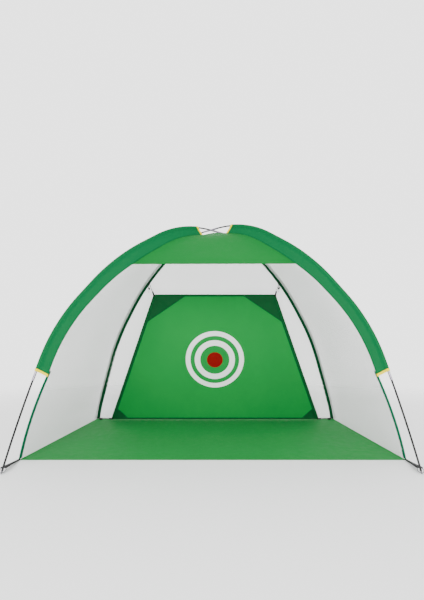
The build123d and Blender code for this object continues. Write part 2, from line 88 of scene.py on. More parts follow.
# ---- pole sleeves: distances along the pole from its front foot, widths from pole to seam
SLEEVE_LOW = 0.481
SLEEVE_HIGH = 1.752
SLEEVE_SLANT = 0.034
LOWER_SLANT = 0.0136
SLEEVE_WIDTHS = ((0.0, 0.051), (0.35, 0.055), (0.6, 0.066), (0.8, 0.060), (1.0, 0.044))
REAR_SLEEVE_START = 2.115
REAR_SLEEVE_END = 3.660
REAR_SLEEVE_WIDTH = 0.014
SLEEVE_RADIUS = 0.0070
SLEEVE_PLY = 0.0007
SLEEVE_STEP = 0.012
TRIM_STEP = 0.0022
TRIM_LENGTH = 0.0105
TRIM_OVERLAP = 0.0025
TRIM_LIFT = 0.0008
SLEEVE_END = 0.002
SLEEVE_STITCH_STEP = 0.02
CHANNEL = 0.0165
CHANNEL_FADE = 0.0105
SEAM_ALLOWANCE = 0.0052
REAR_SEAM_ALLOWANCE = 0.003
SEAM_OVERLAP = 0.0025
CROWN_DROP = 0.011

# ---- seams and panels; a hem's or fold's points are (distance in from the edge, lift off the cloth)
VALANCE_HEIGHT = 1.051
PANEL_FOOT = FABRIC + 0.0012
CROWN_CLEARANCE = 0.004
PANEL_INSET = 0.0015
NET_ROWS = 96
NET_SLACK = 0.006
VALANCE_SLACK = 0.004
VALANCE_STITCHES = (0.0098, 0.0018)
FRONT_EDGE_BULGE = 0.014
REAR_EDGE_BULGE = 0.003
SEAM_STEPS = 60
NET_PLY = 0.0005
NET_CELL = 0.0046
NET_TWIST = 0.0009
CLOTH_PLY = 0.0008
TAPE_PLY = 0.0006
PATCH_PLY = 0.0006
HEM_PLY = 0.0005
FLOOR_HEM = ((0.0004, 0.0), (0.004, 0.0011), (0.010, 0.0012), (0.0156, 0.0011), (0.0162, 0.0001))
VALANCE_HEM = ((0.013, 0.0009), (0.0125, 0.0013), (0.006, 0.0014), (-0.0004, 0.0009), (-0.0010, 0.0))
REAR_TAPE_SIDE = 0.014
REAR_TAPE_BACK = 0.023
REAR_TAPE_STEP = 0.012
EDGE_TAPE = 0.021
EDGE_TAPE_STEP = 0.010
EDGE_FOLD = ((EDGE_TAPE, 0.0009), (EDGE_TAPE * 0.4, 0.0015), (-0.0006, 0.0014), (-0.0016, 0.0))
TAPE_EDGE_LIFT = 0.0009
TAPE_LIFT = 0.0014
TAPE_FOLD_LIFT = 0.0017
TAPE_THREAD_LIFT = 0.0019

# ---- target cloth, a trapezoid that leans back; a patch is (along, up) and a ring (outer, inner) radius
TARGET_LOW = Vector((0.862, 0.445, 0.012))
TARGET_HIGH = Vector((0.455, 0.190, 0.993))
TARGET_SAG = 0.003
SIDE_BINDING = 0.024
LEVEL_BINDING = 0.014
BINDING_STEP = 0.015
BINDING_STITCHES = 0.003
BINDING_LIFT = 0.0016
PATCH_LIFT = 0.0010
BINDING_FOLD = ((1.0, 1.0), (0.55, 1.12), (0.06, 1.0), (-0.03, 0.0))
BINDING_THREAD_LIFT = 0.0021
PATCH_THREAD_LIFT = 0.0014
PATCH_HEM = 0.0035
TOP_PATCH = (0.230, 0.205)
BOTTOM_PATCH = (0.125, 0.092)
RINGS = ((0.230, 0.1925), (0.1587, 0.1152))
BULLSEYE = 0.0628
PRINT_EDGE = 0.0006

# ---- ties from the net to the corners of the target; TAB_BOX is measured from the tab's start
TIE_CORD = 0.0042
TAIL_CORD = 0.0036
TOP_TIE_HEIGHT = 1.090
SEAM_LIFT = 0.004
TOP_LOOP_INSET = (-0.007, -0.010, -0.005)
BOTTOM_LOOP = (0.980, 0.488, 0.009)
LOOP_RADIUS = 0.004
LOOP_WIRE = 0.002
TAB_LENGTH = 0.022
TAB_WIDTH = 0.012
TAB_PLY = 0.0011
TAB_OVERLAP = 0.016
TAB_BOX = (0.002, 0.014)
LOOP_TAB = 0.008
LOOP_TAB_PLY = 0.0009
BOX_WIDTH = 0.72
WEBBING_PLY = 0.0013
PLIES_PART = 0.55
SMALL_RING_RADIUS = 0.007
SMALL_RING_WIRE = 0.002
SMALL_GAP = 0.0005
TAIL_LENGTH = 0.068
KNOT_RADIUS = 0.003
TAIL_EYE_RADIUS = 0.0028
LOCK_STATION = 0.040
CORD_STATION = 0.0125
LOCK_FLOOR = 0.002
PLUNGER_START = 0.0081
SPRING_WIRE = 0.0006
SPRING_RADIUS = 0.0038
SPRING_TURNS = 3
SPRING_GAP = 0.0001
TAIL_SWING = math.radians(32)


def lerp(a, b, t):
    return a + (b - a) * t


def spread(a, b, steps):
    """Evenly spaced values from a to b, both ends included."""
    return [lerp(a, b, k / steps) for k in range(steps + 1)]


def mirrored(point, side):
    """A right-hand point, or its twin on the left where side is -1."""
    return Vector((point[0] * side, point[1], point[2]))


def smooth(t):
    t = min(max(t, 0.0), 1.0)
    return t * t * (3 - 2 * t)


def folded(half):
    """A symmetrical fold from its front half: (inward, lift) points, of which the last is the fold itself."""
    return [*half, *((inward, -lift) for inward, lift in half[-2::-1])]


def square_to(axis):
    """Two directions square to an axis and to each other."""
    u = axis.orthogonal().normalized()
    return u, axis.cross(u).normalized()


def turned(u, v, angle):
    """A direction turned from u towards v."""
    return u * math.cos(angle) + v * math.sin(angle)


def add_object(name, data):
    thing = bpy.data.objects.new(name, data)
    bpy.context.scene.collection.objects.link(thing)
    return thing


# ---- the poles' curve, which every seam follows

class Pole:
    """A pole bent into an arch: eight sections, curved between straight ferruled joints."""

    def __init__(self, letter, side, ease):
        self.letter = letter
        self.start = Vector((side * FRONT_FOOT[0], FRONT_FOOT[1], FOOT_LIFT))
        end = Vector((-side * REAR_FOOT[0], REAR_FOOT[1], FOOT_LIFT))
        self.across = (end - self.start).normalized()
        self.side_way = self.across.cross(UP)
        self.ease = ease
        self.section = 0.480
        self.tilt = 0.0
        span = (end - self.start).length
        for _ in range(40):
            self.lay_out()
            self.section *= span / self.end_x
            self.tilt -= self.end_z / span
        self.length = self.section * POLE_SECTIONS

    def lean(self, joint):
        """The pole's angle above the ground at a joint, in radians."""
        degrees = 0.0
        for wave, angle in LEAN_WAVES.items():
            eased = angle - (self.ease if wave == 1 else 0)
            degrees += eased * math.cos(wave * math.pi * joint / POLE_SECTIONS)
        return math.radians(degrees) + self.tilt

    def lay_out(self):
        """List the pieces: where each starts along the pole and in its plane, and its angles."""
        self.pieces = []
        s = x = z = 0.0
        for k in range(POLE_SECTIONS):
            first = FERRULE_LENGTH / 2 if k > 0 else 0.0
            last = FERRULE_LENGTH / 2 if k < POLE_SECTIONS - 1 else 0.0
            a, b = self.lean(k), self.lean(k + 1)
            for length, low, high in ((first, a, a), (self.section - first - last, a, b), (last, b, b)):
                if length == 0:
                    continue
                self.pieces.append((s, x, z, length, low, high))
                dx, dz = self.step(length, length, low, high)
                s, x, z = s + length, x + dx, z + dz
        self.end_x, self.end_z = x, z

    @staticmethod
    def step(distance, length, low, high):
        """How far a piece goes across and up in a distance along it."""
        if low == high:
            return distance * math.cos(low), distance * math.sin(low)
        turn = (high - low) / length
        angle = low + turn * distance
        return (math.sin(angle) - math.sin(low)) / turn, (math.cos(low) - math.cos(angle)) / turn

    def piece_at(self, s):
        return [p for p in self.pieces if p[0] <= max(s, 0.0) + 1e-9][-1]

    def point(self, s):
        begin, x, z, length, low, high = self.piece_at(s)
        dx, dz = self.step(s - begin, length, low, high)
        return self.start + self.across * (x + dx) + UP * (z + dz)

    def angle(self, s):
        begin, _, _, length, low, high = self.piece_at(s)
        return low + (high - low) * (s - begin) / length

    def along(self, s):
        return self.across * math.cos(self.angle(s)) + UP * math.sin(self.angle(s))

    def inward(self, s):
        """The direction in the pole's plane towards the inside of the arch."""
        return self.across * math.sin(self.angle(s)) - UP * math.cos(self.angle(s))


def crossing(pole):
    """How far along a pole it passes the middle of the net."""
    low, high = 0.0, pole.length
    side = 1 if pole.start.x > 0 else -1
    for _ in range(60):
        middle = (low + high) / 2
        low, high = (middle, high) if pole.point(middle).x * side > 0 else (low, middle)
    return low


POLE_A = Pole("a", 1, 0.0)
POLE_B = Pole("b", -1, LOWER_POLE_EASE)
CROWN = POLE_B.point(crossing(POLE_B)) - UP * CROWN_DROP
FRONT_POLES = {"left": POLE_B, "right": POLE_A}
REAR_POLES = {"left": POLE_A, "right": POLE_B}


# ---- seams

def sleeve_width(t):
    for (t1, w1), (t2, w2) in zip(SLEEVE_WIDTHS, SLEEVE_WIDTHS[1:]):
        if t <= t2:
            return w1 + (w2 - w1) * (t - t1) / (t2 - t1)
    return SLEEVE_WIDTHS[-1][1]


def front_seam_point(pole, s):
    t = (s - SLEEVE_LOW) / (SLEEVE_HIGH + SLEEVE_SLANT - SLEEVE_LOW)
    return pole.point(s) + pole.inward(s) * sleeve_width(t)


def rear_seam_point(pole, s):
    return pole.point(s) + pole.inward(s) * REAR_SLEEVE_WIDTH


def seam_of(seam_point, pole, corner, s1, s2, bulge):
    """A seam from the floor's corner, along a gentle bulge and then the pole, up to the crown."""
    upper = [seam_point(pole, s) for s in spread(s1, s2, SEAM_STEPS)]
    out = Vector((1 if corner.x > 0 else -1, 0, 0))
    rise = spread(0, 1, SEAM_STEPS // 4)[:-1]
    lower = [lerp(corner, upper[0], t) + out * (4 * bulge * t * (1 - t)) for t in rise]
    return lower + upper + [CROWN]


def floor_corner(side, end):
    return Vector((side * FLOOR_HALF.x, end * FLOOR_HALF.y, FABRIC))


SIDES = {"left": -1, "right": 1}
FRONT_SEAMS = {
    name: seam_of(front_seam_point, FRONT_POLES[name], floor_corner(side, -1),
                  SLEEVE_LOW, SLEEVE_HIGH + SLEEVE_SLANT, FRONT_EDGE_BULGE)
    for name, side in SIDES.items()
}
REAR_SEAMS = {
    name: seam_of(rear_seam_point, REAR_POLES[name], floor_corner(side, 1),
                  REAR_SLEEVE_END, REAR_SLEEVE_START, REAR_EDGE_BULGE)
    for name, side in SIDES.items()
}


def at_height(seam, z):
    """The point of a seam at a height."""
    for a, b in zip(seam, seam[1:]):
        if a.z <= z <= b.z:
            return lerp(a, b, (z - a.z) / (b.z - a.z))
    return seam[-1] if z > seam[-1].z else seam[0]


# ---- material helpers

def linear(red, green, blue):
    """An sRGB colour, 0 to 255, as the linear colour that a shader takes."""
    def channel(value):
        c = value / 255
        return c / 12.92 if c <= 0.04045 else ((c + 0.055) / 1.055) ** 2.4
    return channel(red), channel(green), channel(blue), 1.0


def shade(colour, factor):
    return tuple(c * factor for c in colour[:3]) + (1.0,)


class Field:
    """A value inside a material; its arithmetic adds the nodes that it needs."""

    def __init__(self, nodes, socket):
        self.nodes = nodes
        self.socket = socket

    def __add__(self, other):
        return self.nodes.math("ADD", self, other)

    def __sub__(self, other):
        return self.nodes.math("SUBTRACT", self, other)

    def __mul__(self, other):
        return self.nodes.math("MULTIPLY", self, other)


class Nodes:
    """The nodes of a material or the world, with short calls for those it needs."""

    def __init__(self, owner, shader="Principled BSDF"):
        owner.use_nodes = True
        self.owner = owner
        self.tree = owner.node_tree
        self.shader = self.tree.nodes[shader]

    def add(self, kind, **values):
        node = self.tree.nodes.new(kind)
        for key, value in values.items():
            setattr(node, key, value)
        return node

    def feed(self, sockets, *values):
        for socket, value in zip(sockets, values):
            if isinstance(value, Field):
                self.tree.links.new(value.socket, socket)
            else:
                socket.default_value = value

    def put(self, node, **values):
        """Feed a node's inputs by name, where _ stands for a space."""
        for name, value in values.items():
            self.feed([node.inputs[name.replace("_", " ")]], value)

    def take(self, node, *values, output=0):
        """Feed a node's first inputs and take one of its outputs."""
        self.feed(node.inputs, *values)
        return Field(self, node.outputs[output])

    def math(self, operation, a, b=0.0, clamp=False):
        return self.take(self.add("ShaderNodeMath", operation=operation, use_clamp=clamp), a, b)

    def sine(self, value):
        return self.math("SINE", value)

    def length(self, x, y):
        return self.math("SQRT", x * x + y * y)

    def mix(self, factor, a, b):
        node = self.add("ShaderNodeMix", data_type="RGBA")
        self.feed([node.inputs[k] for k in (0, 6, 7)], factor, a, b)
        return Field(self, node.outputs[2])

    def shades(self, factor, colour, dark, light):
        return self.mix(factor, shade(colour, dark), shade(colour, light))

    def scaled(self, colour, tone):
        node = self.add("ShaderNodeVectorMath", operation="SCALE")
        self.feed(node.inputs, colour)
        self.put(node, Scale=tone)
        return Field(self, node.outputs[0])

    def ramp(self, value, low, high, to_low=0.0, to_high=1.0):
        node = self.add("ShaderNodeMapRange", interpolation_type="SMOOTHSTEP")
        return self.take(node, value, low, high, to_low, to_high)

    def band(self, value, low, high, edge):
        """1 where value is between low and high, with soft edges."""
        up = self.ramp(value, low - edge, low + edge)
        return self.math("SUBTRACT", up, self.ramp(value, high - edge, high + edge), clamp=True)

    def noise(self, scale, detail=3.0, stretch=(1, 1, 1), source=None):
        mapping = self.add("ShaderNodeMapping")
        self.put(mapping, Vector=source or self.place(), Scale=stretch)
        node = self.add("ShaderNodeTexNoise")
        self.put(node, Vector=Field(self, mapping.outputs[0]), Scale=scale, Detail=detail)
        return Field(self, node.outputs["Fac"])

    def place(self, space="Object"):
        return Field(self, self.add("ShaderNodeTexCoord").outputs[space])

    def part(self, vector, axis):
        return self.take(self.add("ShaderNodeSeparateXYZ"), vector, output=axis)

    def cloth_place(self):
        """The flat cloth's own coordinates in metres: whole vector, along and across."""
        uv = self.take(self.add("ShaderNodeUVMap", uv_map="cloth"))
        return uv, self.part(uv, 0), self.part(uv, 1)

    def bump(self, height, distance, strength=1.0, after=None):
        node = self.add("ShaderNodeBump")
        self.put(node, Height=height, Distance=distance, Strength=strength)
        if after:
            self.put(node, Normal=after)
        return Field(self, node.outputs[0])

    def finish(self, colour, roughness, normal, **constants):
        self.put(self.shader, Base_Color=colour, Roughness=roughness, Normal=normal, **constants)
        return self.owner


def new_material(name):
    return Nodes(bpy.data.materials.new(name))


def plain_weave(m, u, v, pitch):
    """Height of a plain weave: threads that pass over and under each other."""
    warp = m.sine(u * (math.pi / pitch))
    weft = m.sine(v * (math.pi / pitch))
    ribs = m.math("ABSOLUTE", warp) + m.math("ABSOLUTE", weft)
    return warp * weft * 0.5 + ribs * 0.25


def woven(m, colour, pitch=0.0014):
    """Finish a woven polyester cloth whose base colour is a field or a value."""
    uv, u, v = m.cloth_place()
    weave = plain_weave(m, u, v, pitch)
    threads = m.noise(1.0, 2.0, (900, 60, 1), uv) + m.noise(1.0, 2.0, (60, 900, 1), uv)
    handled = m.noise(28.0, 5.0)
    # tone is mostly random thread, blotch and handling tone; its small weave term paints the hollows between
    # threads darker as painted shade
    tone = threads * 0.35 + weave * 0.10 + m.noise(3.0, 4.0) * 0.35 + handled * 0.16
    colour = m.scaled(colour, m.ramp(tone, 0.30, 1.10, 0.86, 1.12))
    crumpled = m.bump(m.noise(16.0, 5.0), 0.0048, 0.35)
    normal = m.bump(weave, 0.00035, 0.55, crumpled)
    rough = m.ramp(handled + weave * 0.3, 0.2, 0.9, 0.58, 0.78)
    return m.finish(colour, rough, normal, Sheen_Weight=0.02, Specular_IOR_Level=0.12)


def cloth_material(name, colour, **options):
    return woven(new_material(name), colour[:3], **options)


def target_material(name, ground, ring_colour, dot_colour):
    """Woven cloth printed with two rings and a dot round the cloth coordinates' origin."""
    m = new_material(name)
    _, u, v = m.cloth_place()
    radius = m.length(u, v) + (m.noise(140.0, 3.0) - 0.5) * PRINT_EDGE
    colour = ground
    for outer, inner in RINGS:
        colour = m.mix(m.band(radius, inner, outer, PRINT_EDGE), colour, ring_colour)
    dot = m.ramp(radius, BULLSEYE + PRINT_EDGE, BULLSEYE - PRINT_EDGE)
    return woven(m, m.mix(dot, colour, dot_colour))


def net_material(name, colour):
    """Fine knitted mesh with rows of staggered holes."""
    m = new_material(name)
    uv, u, v = m.cloth_place()

    def hole_distance(offset):
        x = m.math("FRACT", u * (1 / NET_CELL) + offset) - 0.5
        y = m.math("FRACT", v * (1 / NET_CELL) + offset) - 0.5
        return m.length(x, y * 0.82)

    thread = m.ramp(m.math("MINIMUM", hole_distance(0.0), hole_distance(0.5)), 0.22, 0.34)
    streaks = m.noise(1.0, 2.0, (150, 1.5, 1), uv)
    tone = m.ramp(streaks * 0.7 + m.noise(4.0, 3.0) * 0.3, 0.3, 0.7, 0.90, 1.04)
    twist = m.sine((u + v) * (math.tau / NET_TWIST))
    rough = m.ramp(streaks, 0.2, 0.8, 0.62, 0.8)
    normal = m.bump(twist * 0.15 + thread, 0.0004, 0.6)
    return m.finish(m.scaled(colour[:3], tone), rough, normal, Specular_IOR_Level=0.2,
                    Alpha=thread * 0.90 + 0.06)


def tape_material(name, colour, rib=0.0016, contrast=0.18):
    """Woven tape or webbing with ribs across its run."""
    m = new_material(name)
    _, u, v = m.cloth_place()
    herring = m.sine((u + v) * (math.tau / (rib * 0.8)))
    height = herring * 0.35 + m.sine(u * (math.tau / rib))
    fuzz = m.noise(260.0, 4.0)
    # tone is partly the rib height, which paints the troughs darker and the crests lighter as painted shade
    # and painted highlight, and partly random fibre tone
    tone = m.ramp(height * 0.2 + fuzz + m.noise(12.0, 3.0) * 0.5, 0.3, 1.1)
    colour = m.shades(tone, colour, 1 - contrast, 1 + contrast * 1.4)
    rough = m.ramp(fuzz, 0.3, 0.7, 0.6, 0.8)
    return m.finish(colour, rough, m.bump(height, 0.00025, 0.6), Specular_IOR_Level=0.12)


def braid_material(name, colour):
    """Braided elastic: two sets of diagonal strands round the cord."""
    m = new_material(name)
    _, u, v = m.cloth_place()
    run, turn = u * (math.tau / 0.0032), v * (math.tau / 0.0024)
    height = m.math("MAXIMUM", m.sine(run + turn), m.sine(run - turn))
    # the strands' crowns are painted lighter and the grooves between them darker: painted highlight and
    # painted shade that follow the strands' height
    colour = m.shades(m.ramp(height, -0.2, 1.0), colour, 0.45, 1.5)
    return m.finish(colour, m.ramp(m.noise(90.0), 0.3, 0.7, 0.55, 0.8), m.bump(height, 0.0002, 0.7))


def plain_braid_material(name, colour):
    """The same braid for loops and tails that have no cloth coordinates."""
    m = new_material(name)
    strands = m.noise(900.0, 2.0, (1, 1, 2.5))
    # the colour follows the same strands as the bump: painted shade on the low strands and painted highlight
    # on the raised ones
    colour = m.shades(m.ramp(strands, 0.35, 0.65), colour, 0.5, 1.6)
    rough = m.ramp(m.noise(300.0, 4.0), 0.3, 0.7, 0.6, 0.85)
    return m.finish(colour, rough, m.bump(strands, 0.0003, 0.7))


def rod_material(name, colour):
    """Glossy pultruded glass fibre, with fine streaks and scuffs."""
    m = new_material(name)
    streaks = m.noise(60.0, 3.0, (1, 1, 0.25))
    scuffs = m.noise(420.0, 5.0)
    worn = m.ramp(streaks * scuffs, 0.30, 0.42)
    rough = m.ramp(worn + streaks, 0.2, 1.4, 0.20, 0.46)
    normal = m.bump(scuffs, 0.00006, 0.4)
    return m.finish(m.shades(worn, colour, 1.0, 2.6), rough, normal, Specular_IOR_Level=0.35)


def metal_material(name, colour, brush):
    """Plated or brushed metal with fine scratches and dull patches."""
    m = new_material(name)
    scratches = m.noise(160.0, 4.0, brush)
    patches = m.noise(45.0, 4.0)
    colour = m.shades(m.ramp(patches, 0.3, 0.75), colour, 0.72, 1.06)
    rough = m.ramp(scratches * 0.5 + patches * 0.5, 0.3, 0.7, 0.22, 0.42)
    return m.finish(colour, rough, m.bump(scratches, 0.00004, 0.5), Metallic=1.0)


def plastic_material(name, colour):
    """Moulded plastic with a fine spark-eroded grain."""
    m = new_material(name)
    grain = m.noise(2600.0, 2.0)
    rubbed = m.noise(120.0, 4.0)
    colour = m.shades(m.ramp(rubbed, 0.4, 0.75), colour, 1.0, 2.0)
    rough = m.ramp(grain + rubbed, 0.6, 1.4, 0.45, 0.62)
    return m.finish(colour, rough, m.bump(grain, 0.00008, 0.5), Specular_IOR_Level=0.25)


def thread_material(name, colour):
    """Twisted sewing thread."""
    m = new_material(name)
    twist = m.noise(1500.0, 2.0, (1, 1, 0.4))
    # the colour follows the same twist as the bump: painted shade in the twist's grooves and painted
    # highlight on its ridges
    colour = m.shades(m.ramp(twist, 0.35, 0.65), colour, 0.75, 1.2)
    return m.finish(colour, 0.6, m.bump(twist, 0.0001, 0.5), Specular_IOR_Level=0.2)


LIGHT_GREEN = linear(4, 127, 50)
# the target's ground is the light green made a little lighter: painted light that makes up for the shade it
# stands in under the valance and between the nets
PRINT_GREEN_PAINTED_LIGHT = linear(7, 134, 56)
SLEEVE_GREEN = linear(1, 95, 50)
DEEP_GREEN = linear(6, 74, 35)
SEAM_GREEN = linear(5, 67, 37)
TEAL_GREEN = linear(12, 102, 70)
TRIM_YELLOW = linear(236, 212, 0)
BLACK = linear(17, 17, 18)

MATERIALS = {
    "light_cloth": cloth_material("light_green_cloth", LIGHT_GREEN),
    # the valance takes the light green darkened to 0.74: painted shade that offsets the extra light falling
    # on its tilted face
    "valance_painted_shade_cloth": cloth_material("valance_painted_shade_green", shade(LIGHT_GREEN, 0.74)),
    "target": target_material("printed_target_cloth", PRINT_GREEN_PAINTED_LIGHT, linear(250, 252, 250), linear(124, 3, 4)),
    "sleeve_cloth": cloth_material("sleeve_green_cloth", SLEEVE_GREEN, pitch=0.0012),
    "patch_cloth": cloth_material("deep_green_cloth", DEEP_GREEN, pitch=0.0012),
    "net": net_material("fine_white_net", linear(238, 238, 238)),
    "binding_tape": tape_material("teal_binding_tape", TEAL_GREEN),
    "seam_tape": tape_material("dark_seam_tape", SEAM_GREEN),
    "deep_tape": tape_material("deep_green_tape", DEEP_GREEN),
    "trim_tape": tape_material("yellow_trim_tape", TRIM_YELLOW, contrast=0.08),
    "webbing": tape_material("black_webbing", BLACK, rib=0.0022, contrast=0.4),
    "elastic_cord": braid_material("braided_elastic", BLACK),
    "loop_cord": plain_braid_material("loop_cord", BLACK),
    "fibreglass": rod_material("black_fibreglass", linear(17, 16, 19)),
    "ferrule": metal_material("ferrule_metal", linear(176, 168, 182), brush=(1, 1, 12)),
    "steel": metal_material("zinc_plated_steel", linear(128, 128, 132), brush=(6, 6, 6)),
    "lock_plastic": plastic_material("black_moulded_plastic", BLACK),
    "light_thread": thread_material("light_green_thread", shade(LIGHT_GREEN, 0.62)),
    "sleeve_thread": thread_material("sleeve_green_thread", shade(SLEEVE_GREEN, 0.55)),
    "edge_thread": thread_material("edge_green_thread", shade(SLEEVE_GREEN, 0.55)),
    "deep_thread": thread_material("deep_green_thread", shade(DEEP_GREEN, 1.7)),
    "yellow_thread": thread_material("yellow_thread", shade(TRIM_YELLOW, 0.7)),
    "black_thread": thread_material("black_thread", linear(58, 58, 60)),
}


# ---- mesh helpers

def make_piece(name, vertices, faces, material, body="net", replaced=None):
    """A mesh in its material's slot that rides on a body and may stand for a CAD node."""
    mesh = bpy.data.meshes.new(name)
    mesh.from_pydata([tuple(v) for v in vertices], [], faces)
    mesh.materials.append(MATERIALS[material])
    mesh.polygons.foreach_set("use_smooth", [True] * len(mesh.polygons))
    piece = add_object(name, mesh)
    if body:
        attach(piece, body)
    if replaced:
        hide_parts(replaced)
    return piece


def running(points):
    """Distance along a row of points, at each of them."""
    total = [0.0]
    for a, b in zip(points, points[1:]):
        total.append(total[-1] + (b - a).length)
    return total


def at_run(values, runs, distance):
    """What a row of values comes to at a distance along it."""
    n = min(bisect_left(runs, distance, 1), len(runs) - 1)
    share = (distance - runs[n - 1]) / max(runs[n] - runs[n - 1], 1e-9)
    return lerp(values[n - 1], values[n], min(share, 1.0))


def cloth_piece(name, rows, material, ply, flat=None, body="net", tube=False, replaced=None):
    """A cloth through a grid of points, with flat coordinates in metres and its ply's thickness."""
    count, width = len(rows), len(rows[0])
    quads = []
    for i in range(count - 1):
        for k in range(width if tube else width - 1):
            quads.append(((i, k), (i, k + 1), (i + 1, k + 1), (i + 1, k)))
    faces = [[i * width + k % width for i, k in quad] for quad in quads]
    piece = make_piece(name, [p for row in rows for p in row], faces, material, body, replaced)
    if flat is None:
        runs = running([row[0] for row in rows])
        middle = rows[count // 2]
        across = running(middle + middle[:1])
        flat = lambda i, k: (runs[i], across[k])
    layer = piece.data.uv_layers.new(name="cloth")
    for corner, place in zip(layer.data, (place for quad in quads for place in quad)):
        corner.uv = flat(*place)
    if ply:
        solid = piece.modifiers.new("ply", "SOLIDIFY")
        solid.thickness = ply
        solid.offset = 0.0
    return piece


def smoothed(points, spacing):
    """Evenly spaced points along a row of points."""
    runs = running(points)
    count = max(2, round(runs[-1] / spacing))
    return [at_run(points, runs, distance) for distance in spread(0, runs[-1], count)]


def tangents(points):
    last = len(points) - 1
    return [(points[min(i + 1, last)] - points[max(i - 1, 0)]).normalized() for i in range(len(points))]


STITCH_LENGTH = 0.0034
STITCH_GAP = 0.0012
STITCH_RADIUS = 0.00032


def stitch_row(name, lines, material, body="net"):
    """Rows of sewing thread: each line is (points, normals) on the cloth's surface."""
    vertices, faces = [], []
    for points, normals in lines:
        runs = running(points)
        at = STITCH_GAP
        while at + STITCH_LENGTH < runs[-1]:
            a, b = (at_run(points, runs, at + d) for d in (0, STITCH_LENGTH))
            normal = at_run(normals, runs, at + STITCH_LENGTH / 2).normalized() * STITCH_RADIUS
            side = (b - a).cross(normal).normalized() * STITCH_RADIUS
            base = len(vertices)
            vertices.append(a - normal * 0.4)
            for share, size in ((0.2, 0.85), (0.5, 1.0), (0.8, 0.85)):
                centre = lerp(a, b, share)
                vertices += [centre + way * size for way in (side, normal * 1.2, -side, normal * -1.2)]
            vertices.append(b - normal * 0.4)
            for k in range(4):
                n = (k + 1) % 4
                faces.append((base, base + 1 + n, base + 1 + k))
                for r in (1, 5):
                    faces.append((base + r + k, base + r + n, base + 4 + r + n, base + 4 + r + k))
                faces.append((base + 13, base + 9 + k, base + 9 + n))
            at += STITCH_LENGTH + STITCH_GAP
    return make_piece(name, vertices, faces, material, body)


def tube_piece(name, points, radius, material, sides=10, body="net", capped=True, replaced=None):
    """A round tube along points, with cloth coordinates along and round it."""
    way = tangents(points)
    side = way[0].orthogonal().normalized()
    angles = [math.tau * k / sides for k in range(sides)]
    rows = []
    for point, t in zip(points, way):
        side = (side - t * side.dot(t)).normalized()
        rows.append([point + turned(side, t.cross(side), angle) * radius for angle in angles])
    if capped:
        rows = [[points[0]] * sides] + rows + [[points[-1]] * sides]
    piece = cloth_piece(name, rows, material, 0.0, body=body, tube=True, replaced=replaced)
    if capped:
        weld = piece.modifiers.new("ends", "WELD")
        weld.merge_threshold = radius * 0.01
    return piece


# ---- cloth shapes

def seam_puckers(distance, run, depth, reach=0.035, pitch=0.045):
    """Small gathers that run in from a sewn edge and fade out."""
    wander = noise.noise(Vector((run * 6, 0.3, 1.7))) * 1.5
    return depth * math.exp(-distance / reach) * math.sin(math.tau * run / pitch + wander)


def soft_noise(point, scale, seed):
    return noise.noise(Vector((point.x, point.y, point.z)) * scale + Vector((seed, seed * 0.7, seed * 1.3)))


# distances from a panel's edges over which its slack grows, waves a metre, and the gathers' share of it
CALM_SIDE = 0.04
CALM_FOOT = 0.05
CALM_TOP = 0.02
SLACK_WAVES = 3.2
PUCKER_SHARE = 0.22


def panel_rows(first, second, bottom, rows, columns, slack, seed):
    """Level rulings stretched between two seams, with slight gathers and slack."""
    top = CROWN.z - CROWN_CLEARANCE
    heights = [lerp(bottom, top, math.sin(math.pi / 2 * t) ** 1.15) for t in spread(0, 1, rows)]
    ends = []
    for z in heights:
        a, b = at_height(first, z), at_height(second, z)
        edge = min(PANEL_INSET / max((b - a).length, 1e-6), 0.3)
        ends.append((lerp(a, b, edge), lerp(b, a, edge)))
    grid = []
    for i, (a, b) in enumerate(ends):
        upper, lower = ends[min(i + 1, rows)], ends[max(i - 1, 0)]
        width = (b - a).length
        row = []
        for k in range(columns + 1):
            t = k / columns
            point = lerp(a, b, t)
            rise = lerp(upper[0], upper[1], t) - lerp(lower[0], lower[1], t)
            normal = rise.cross(b - a)
            if normal.length < 1e-9:
                row.append(point)
                continue
            normal.normalize()
            near = min(t, 1 - t) * width
            calm = smooth(near / CALM_SIDE) * smooth((heights[i] - bottom) / CALM_FOOT)
            calm *= smooth((top - heights[i]) / CALM_TOP)
            shift = slack * soft_noise(point, SLACK_WAVES, seed) * calm
            gathered = seam_puckers(near, heights[i] + (0.02 if t > 0.5 else 0), slack * PUCKER_SHARE)
            row.append(point + normal * (shift + gathered * smooth(near / 0.006)))
        grid.append(row)
    return grid


def planar_flat(rows, level, rise=1.12):
    """Flat coordinates that keep the cloth's grain upright; rise allows for its slope."""
    return lambda i, k: (rows[i][k].dot(level), rows[i][k].z * rise)


def sheet_area(rows):
    """The area of a grid of points, from its cells' diagonals."""
    total = 0.0
    for upper, lower in zip(rows[1:], rows):
        for a, b, c, d in zip(lower, lower[1:], upper[1:], upper):
            total += ((c - a).cross(d - b)).length / 2
    return total


def declare_sheet(rows, flat):
    """Work out a cloth's area from its grid, at most that of the rectangle it is cut from."""
    area = min(sheet_area(rows), flat[0] * flat[1])


# ---- floor sheet

FOLDS_ACROSS = (-0.5, 0.0, 0.5)
FOLDS_ALONG = (-0.17, 0.17)
FOLD_WIDTH = 0.006
FOLD_HEIGHT = 0.0006
BUMP_HEIGHT = 0.0016
CRINKLE_HEIGHT = 0.0005
PULL_HEIGHT = 0.0010
PULL_REACH = 0.09
PULL_FANS = 14
HEM_STEP = 0.02
HEM_STITCHES = 0.0125
HEM_STITCH_LIFT = 0.0015
HEM_MITRE = 0.001
HEM_END = 0.0015


